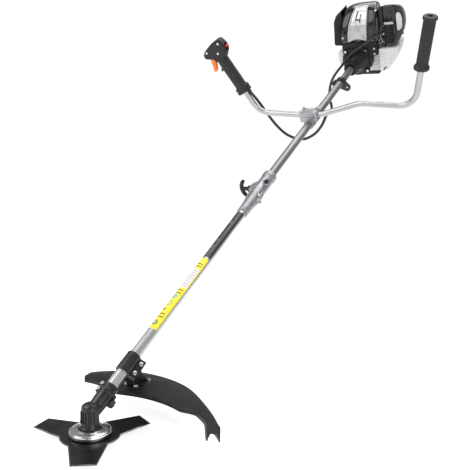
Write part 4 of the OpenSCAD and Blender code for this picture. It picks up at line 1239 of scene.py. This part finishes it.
def make_engine_cover():
    """Glossy moulded hood, open underneath and cut for the exhaust, the inlet and air."""
    rings = cover_rings()
    bm = bmesh.new()
    loops = [[bm.verts.new(p) for p in ring] for ring in rings]
    count = len(loops[0])
    base = [i for i in range(count) if abs(loops[len(loops) // 2][i].co.z - COVER_BASE) < 0.01]
    for a, b in zip(loops, loops[1:]):
        for i in range(count):
            j = (i + 1) % count
            if i in base and j in base:
                continue
            bm.faces.new((a[i], a[j], b[j], b[i]))
    bm.faces.new(list(reversed(loops[0])))
    bm.faces.new(loops[-1])
    bmesh.ops.remove_doubles(bm, verts=bm.verts, dist=0.02)
    hood = piece("hood_shell", bm, ROW, "main", "gloss_black", crease=50,
                 stands_for=["engine_cover"])
    thicken(hood, 2.6)
    cuts = [box_at(-72, -40, 1786, 1866, 60, 158), box_at(84, 120, 1780, 1856, 60, 138)]
    cuts += [box_at(-20 + 16 * k, -12 + 16 * k, 1868, 1900, 96, 166) for k in range(6)]
    carve(hood, placed(joined(*cuts), ROW))
    reshape(hood, hood_taper)
    round_edges(hood, 0.6)


def make_cover_trim():
    """Beads beside the silver plate, a seam bead and three screws."""
    parts = []
    for edge in (-1, 1):
        path = []
        for k in range(25):
            n = 80 + 110 * k / 24
            x = plate_edge(n, edge) + edge * 4.5
            path.append((x, cover_face(n) - 0.4, n))
        parts.append(sweep(path, 1.3, 10))
    bead = [(76 + 3 * math.sin(math.pi * k / 24), cover_face(84 + 108 * k / 24) - 0.2,
             84 + 108 * k / 24) for k in range(25)]
    parts.append(sweep(bead, 1.1, 10))
    piece("hood_beads", joined(*parts), ROW, "main", "gloss_black", crease=60)
    screws = []
    for x, n in ((84, 178), (86, 92), (-44, 96)):
        lean = Matrix.Rotation(-math.atan2(cover_face(n + 2) - cover_face(n - 2), 4), 4, "X")
        head = lathe([(0, 0), (4.4, 0), (4.4, 1.6), (3.4, 2.8), (1.6, 3.1), (1.4, 1.8), (0, 1.8)],
                     28)
        screws.append((head, at(x, cover_face(n), n) @ lean @ FRONT_TURN))
    piece("hood_screws", joined(*screws), ROW, "main", "bolt_zinc", crease=28)


# the silver plate's edges: x at each height
PLATE_LEFT = [(78, -26), (108, -24), (140, -20), (168, -11), (194, 0)]
PLATE_RIGHT = [(78, 52), (108, 53), (140, 54), (194, 52)]
PLATE_LOW, PLATE_HIGH = 78, 194
# its size, for the distance of a point from the rim
PLATE_W, PLATE_H = 76, 112


def plate_edge(n, side):
    return between(PLATE_LEFT if side < 0 else PLATE_RIGHT, n)


def plate_sheet(u0, u1, v0, v1, rise, rim=0.0, columns=44, rows=60):
    """A sheet following the hood's face between shares of the plate's width and height."""
    grid = []
    for j in range(rows + 1):
        v = v0 + (v1 - v0) * j / rows
        line = []
        for i in range(columns + 1):
            u = u0 + (u1 - u0) * i / columns
            low = PLATE_LOW + 9 * math.sin(math.pi * min(1, max(0, u))) ** 2
            n = low + (PLATE_HIGH - low) * v
            x = plate_edge(n, -1) + (plate_edge(n, 1) - plate_edge(n, -1)) * u
            near = min(u * PLATE_W, (1 - u) * PLATE_W, v * PLATE_H, (1 - v) * PLATE_H)
            ridge = rim * (ramp(near, 0.4, 1.8) * (1 - ramp(near, 4.6, 6.6)))
            line.append((x, cover_face(n) - rise - ridge, n))
        grid.append(line)
    return sheet(grid)


def make_cover_plate():
    """Silver trim plate with a pressed rim and a plain dark mark near its top."""
    plate = piece("trim_plate", plate_sheet(0, 1, 0, 1, 1.6, 1.5), ROW, "main",
                  "plate_silver", crease=60, stands_for=["cover_plate"])
    thicken(plate, 1.6, -1 if plate_faces_out(plate) else 1)
    mark = joined(plate_sheet(0.30, 0.40, 0.62, 0.88, 1.75, 0, 4, 20),
                  plate_sheet(0.40, 0.62, 0.62, 0.67, 1.75, 0, 8, 6),
                  plate_sheet(0.56, 0.64, 0.56, 0.80, 1.75, 0, 4, 20))
    piece("trim_mark", mark, ROW, "main", "label_black", crease=60)


def plate_faces_out(obj):
    """True if most of the sheet's normals look towards the gear head."""
    ahead = (ROW.to_3x3() @ Vector((0, -1, 0))).normalized()
    return sum(1 if f.normal.dot(ahead) > 0 else -1 for f in obj.data.polygons) > 0


# ------------------------------------------------------------------ muffler side

COWL_FRONT = 1770
COWL_OUTLINE = [(-56, 58), (-88, 60), (-91, 68), (-86, 110), (-82, 150), (-76, 172), (-56, 188)]
COWL_INSIDE = [(-50, 62), (-84.5, 63.5), (-87, 70), (-82, 110), (-78, 149), (-73, 169),
               (-50, 185)]
# a louvre in the plane of the outline, stopping short of the inside of the wall
LOUVRE = [(-100, 84), (-87.4, 84), (-84, 110), (-80, 150), (-79, 156), (-100, 156)]


def cowl_slope(p):
    """The cowl's front leans back with the hood's."""
    p.y = max(p.y, cover_face(p.z) + 4)


def make_muffler_guard():
    """Louvred plastic guard over the muffler."""
    outer = prism(softened(COWL_OUTLINE, 6), -102, 0, 3.5, 3.5)
    guard = piece("muffler_cowl", outer, front(COWL_FRONT), "main", "black_plastic", crease=50,
                  stands_for=["muffler_guard"])
    face = at(0, COWL_FRONT) @ FRONT_TURN
    outlet = prism(circle(9, 32), -14, 14)
    cuts = [(prism(COWL_INSIDE, -99, -3), face), (outlet, at(-84, 1840, 132) @ CROSS_TURN)]
    cuts += [(prism(LOUVRE, -13.5 - 11 * k, -8 - 11 * k), face) for k in range(8)]
    carve(guard, *[placed(joined(cut), ROW) for cut in cuts])
    reshape(guard, cowl_slope)
    round_edges(guard, 0.8)
    ribs = [box_at(-84 + 1.6 * k, -60, 74 + 15 * k, 78 + 15 * k, -0.2, 2.2) for k in range(6)]
    piece("muffler_cowl_ribs", joined(*ribs), front(COWL_FRONT), "main", "black_plastic",
          edge=0.8)
    finish_node("muffler", "muffler_black", 0.8)


# ------------------------------------------------------------------ air cleaner

CLEANER = [(113.4, 44), (140, 40), (152, 44), (170, 63), (184, 92), (190, 120), (190, 150),
           (184, 176), (172, 192), (156, 198), (113.4, 198)]
CLEANER_DEPTH = 90
CLEANER_FACE = front(1774)


def drawn_in(bm):
    """Draws the lid's top and right-hand side in towards its back."""
    for v in bm.verts:
        back = max(0, -v.co.z - 12) / 84
        v.co.x -= (v.co.x - CLEANER[0][0]) * 0.183 * back
        v.co.y -= (v.co.y - CLEANER[0][1]) * 0.195 * back
    return bm


def make_air_cleaner():
    """Lid with a grille, a silver strip, a badge and its screw; case and foam behind it."""
    finish_node("air_cleaner_case", "black_plastic", 1.6)
    finish_node("air_filter", "filter_foam", 1.2)
    outline = softened(CLEANER, 14, 6)
    lid = piece("cleaner_lid", drawn_in(prism(outline, -CLEANER_DEPTH, 0, 7, 8, 6)),
                CLEANER_FACE, "filter_lid", "gloss_black", crease=50,
                stands_for=["air_cleaner_cover"])
    hollow = drawn_in(prism(inset(anticlockwise(outline), 3), -CLEANER_DEPTH + 3, -3, 4, 4))
    mouth = drawn_in(box_at(108, 128, 48, 194, -CLEANER_DEPTH + 3, -3))
    window = box_at(116, 148, 58, 124, -6, 4)
    carve(lid, *[placed(bm, CLEANER_FACE) for bm in (hollow, mouth, window)])
    round_edges(lid, 0.7)
    bars = [prism(softened(rectangle(31.6, 5.4, 132, 64 + 9 * k), 2), -3.2, -0.4, 0, 1)
            for k in range(7)]
    bars.append(box_at(130.6, 133.4, 58, 124, -3.4, -1.4))
    rim = [(132 + 17.5 * sx, 91 + 34.5 * sy) for sx, sy in ((-1, -1), (1, -1), (1, 1), (-1, 1))]
    rim = softened(rim, 5)
    rim = sweep([(x, n, 0) for x, n in rim + rim[:2]], 1.5, 10)
    piece("cleaner_grille", joined(rim, *bars), CLEANER_FACE, "filter_lid",
          "black_plastic", edge=0.4)
    strip = prism(softened(rectangle(36, 9, 134, 131.5), 3), 0.2, 1.8, 0, 0.8)
    piece("cleaner_strip", strip, CLEANER_FACE, "filter_lid", "plate_silver", crease=50)
    badge = softened([(166, 100), (182, 110), (185, 122), (185, 150), (179, 166), (170, 170),
                      (165, 160)], 5, 5)
    panel = prism(badge, 0.2, 1.9, 0, 0.8)
    edge = sweep([(x, n, 1.4) for x, n in badge + badge[:1]], 0.9, 8)
    piece("cleaner_badge", joined(panel, edge), CLEANER_FACE, "filter_lid", "badge_grey",
          crease=50)
    hook = curve_through([(112, 123, 0), (102, 116, 0), (97.5, 92, 0), (101, 68, 0),
                          (111, 58, 0)], 8)
    piece("case_bead", sweep(hook, 1.3, 10), front(1775.4), "main", "bolt_zinc", crease=50)
    # the screw that holds the lid
    knob = lathe([(0, 0), (7.5, 0), (7.5, 4), (6.4, 5.4), (2.4, 5.4), (2, 3.4), (0, 3.4)], 36,
                 lambda a, r, z: r + (0.5 * math.cos(10 * a) if r > 7 else 0))
    piece("cleaner_screw", knob, across(170, 1832, 72) @ at(0, 0, -5), "filter_lid",
          "black_plastic", crease=36)


# ------------------------------------------------------------------ fuel tank

LOBE_S, TANK_S, TANK_END = 1766, 1792, 1880


def tank_taper(p):
    """The deep lobe's right-hand side draws in towards the back."""
    p.x -= max(0, p.x - 86) * 0.1 * max(0, p.y - 1790) / 90


def make_tank():
    """Blow-moulded tank: a U under the crankcase and the deep right-hand lobe."""
    saddle = softened([(-43, 28), (-84, 28), (-92, 20), (-90, -20), (-72, -50), (-52, -62),
                       (90, -62), (124, -38), (124, 38), (64, 38), (43, 28), (43, -37),
                       (-43, -37)], 9, 5)
    lobe = softened([(86, -61), (124, -43), (155, -4), (167, 28), (164, 38), (86, 38)], 9, 6)
    neck = lathe([(15, -4), (17, -4), (17, 7), (15.4, 7.6), (15.4, 10), (15, 10)], 48)
    parts = [(prism(saddle, 0, TANK_END - TANK_S, 5, 5, 5), at(0, TANK_END) @ FRONT_TURN),
             (neck, at(105, 1879) @ BACK_TURN)]
    for k in range(3):
        rib = prism(softened(rectangle(3.6, 66, 91 + 9 * k, -10 - 3 * k), 1.7), 1, 11.6, 0, 1.4)
        parts.append((rib, at(0, 1776.4) @ FRONT_TURN))
    piece("tank_moulding", joined(*parts), ROW, "main", "tank_white", crease=60,
          stands_for=["fuel_tank"])
    deep = piece("tank_lobe", prism(lobe, 0, TANK_END - LOBE_S, 4, 4, 4), front(TANK_END),
                 "main", "tank_white", crease=60)
    reshape(deep, tank_taper)
    # the slot is painted shade: a near-black sheet on the lobe's face where the slot's shade
    # falls
    slot = (prism(softened(rectangle(19, 7.6), 3.6), -1, 0.5), at(106, -41)
            @ Matrix.Rotation(math.radians(42), 4, "Z"))
    piece("tank_slot", joined(slot), front(LOBE_S), "main", "painted_recess_shade")
    finish_node("fuel_cap", "black_plastic", 0.8)
    finish_node("engine_stand", "black_plastic", 2.0)
    feet = [box_at(x, x + 9, 1794, 1872, -76.5, -72.5) for x in (-26, 60)]
    piece("stand_feet", joined(*feet), ROW, "main", "black_plastic", edge=1.2)


# ------------------------------------------------------------------ engine core and starter

def make_engine_core():
    for node in ("crankcase", "cylinder", "carburettor", "flywheel"):
        finish_node(node, "engine_alloy", 0.8)
    for node in ("crankshaft", "piston", "clutch_drum", "clutch_shoes", "throttle_lever",
                 "starter_pulley"):
        finish_node(node, "machined_steel", 0.3)
    finish_node("spark_plug", "plug_white", 0.4)


ROPE_S = 1888
ROPE_DIRECTION = (-0.9, 0, 0.436)
ROPE_IN, ROPE_OUT = 26, 69


def make_starter():
    """Housing with its dome ring, the rope and the T-shaped handle."""
    finish_node("starter_housing", "black_plastic", 1.2)
    ring = lathe([(41, 0), (46, 0), (46, 1.2), (45, 2), (42, 2), (41, 1.2)], 80)
    hub = lathe([(0, 0), (15, 0), (15, 1.4), (13.6, 2.6), (0, 3.2)], 64)
    piece("starter_trim", joined(ring, hub), along(1904), "main", "black_plastic", crease=46)
    turn = math.atan2(ROPE_DIRECTION[0], ROPE_DIRECTION[2])
    frame_at = ROW @ at(0, ROPE_S) @ Matrix.Rotation(turn, 4, "Y")
    line = [(0, 0, ROPE_IN + (ROPE_OUT + 4 - ROPE_IN) * k / 43) for k in range(44)]
    rope = piece("pull_rope", sweep(line, 1.9, 12), frame_at, None, "rope_white",
                 stands_for=["starter_rope"])
    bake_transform(rope)
    bush = lathe([(2.6, 54), (6.5, 54), (6.5, 66), (5.6, 68), (3.4, 68), (2.6, 67)], 40)
    piece("rope_bush", bush, frame_at, "main", "machined_steel", crease=40)
    bar = [(0, 24 * t, ROPE_OUT + 20 - 3 * t * t) for t in BAR_SHARES]
    thick = [8 * math.sqrt(max(0.03, 1 - abs(t) ** 6)) for t in BAR_SHARES]
    stem = lathe([(2.2, ROPE_OUT), (6.6, ROPE_OUT), (7.2, ROPE_OUT + 1), (8.4, ROPE_OUT + 12),
                  (8, ROPE_OUT + 17), (2.2, ROPE_OUT + 17)], 48)
    piece("pull_handle", joined(sweep(bar, thick, 24), stem), frame_at, "pull",
          "black_plastic", crease=50, stands_for=["starter_handle"])


make_blade()
make_cup()
make_under_blade()
make_gear_head()
make_head_bolts()
make_guard()
make_guard_ribs()
make_bracket()
make_lower_pole()
make_coupling()
make_knob()
make_clamp()
make_plain_grip()
make_throttle_grip()
make_levers()
make_clutch_housing()
make_fan_cover()
make_engine_cover()
make_cover_trim()
make_cover_plate()
make_muffler_guard()
make_air_cleaner()
make_tank()
make_engine_core()
make_starter()
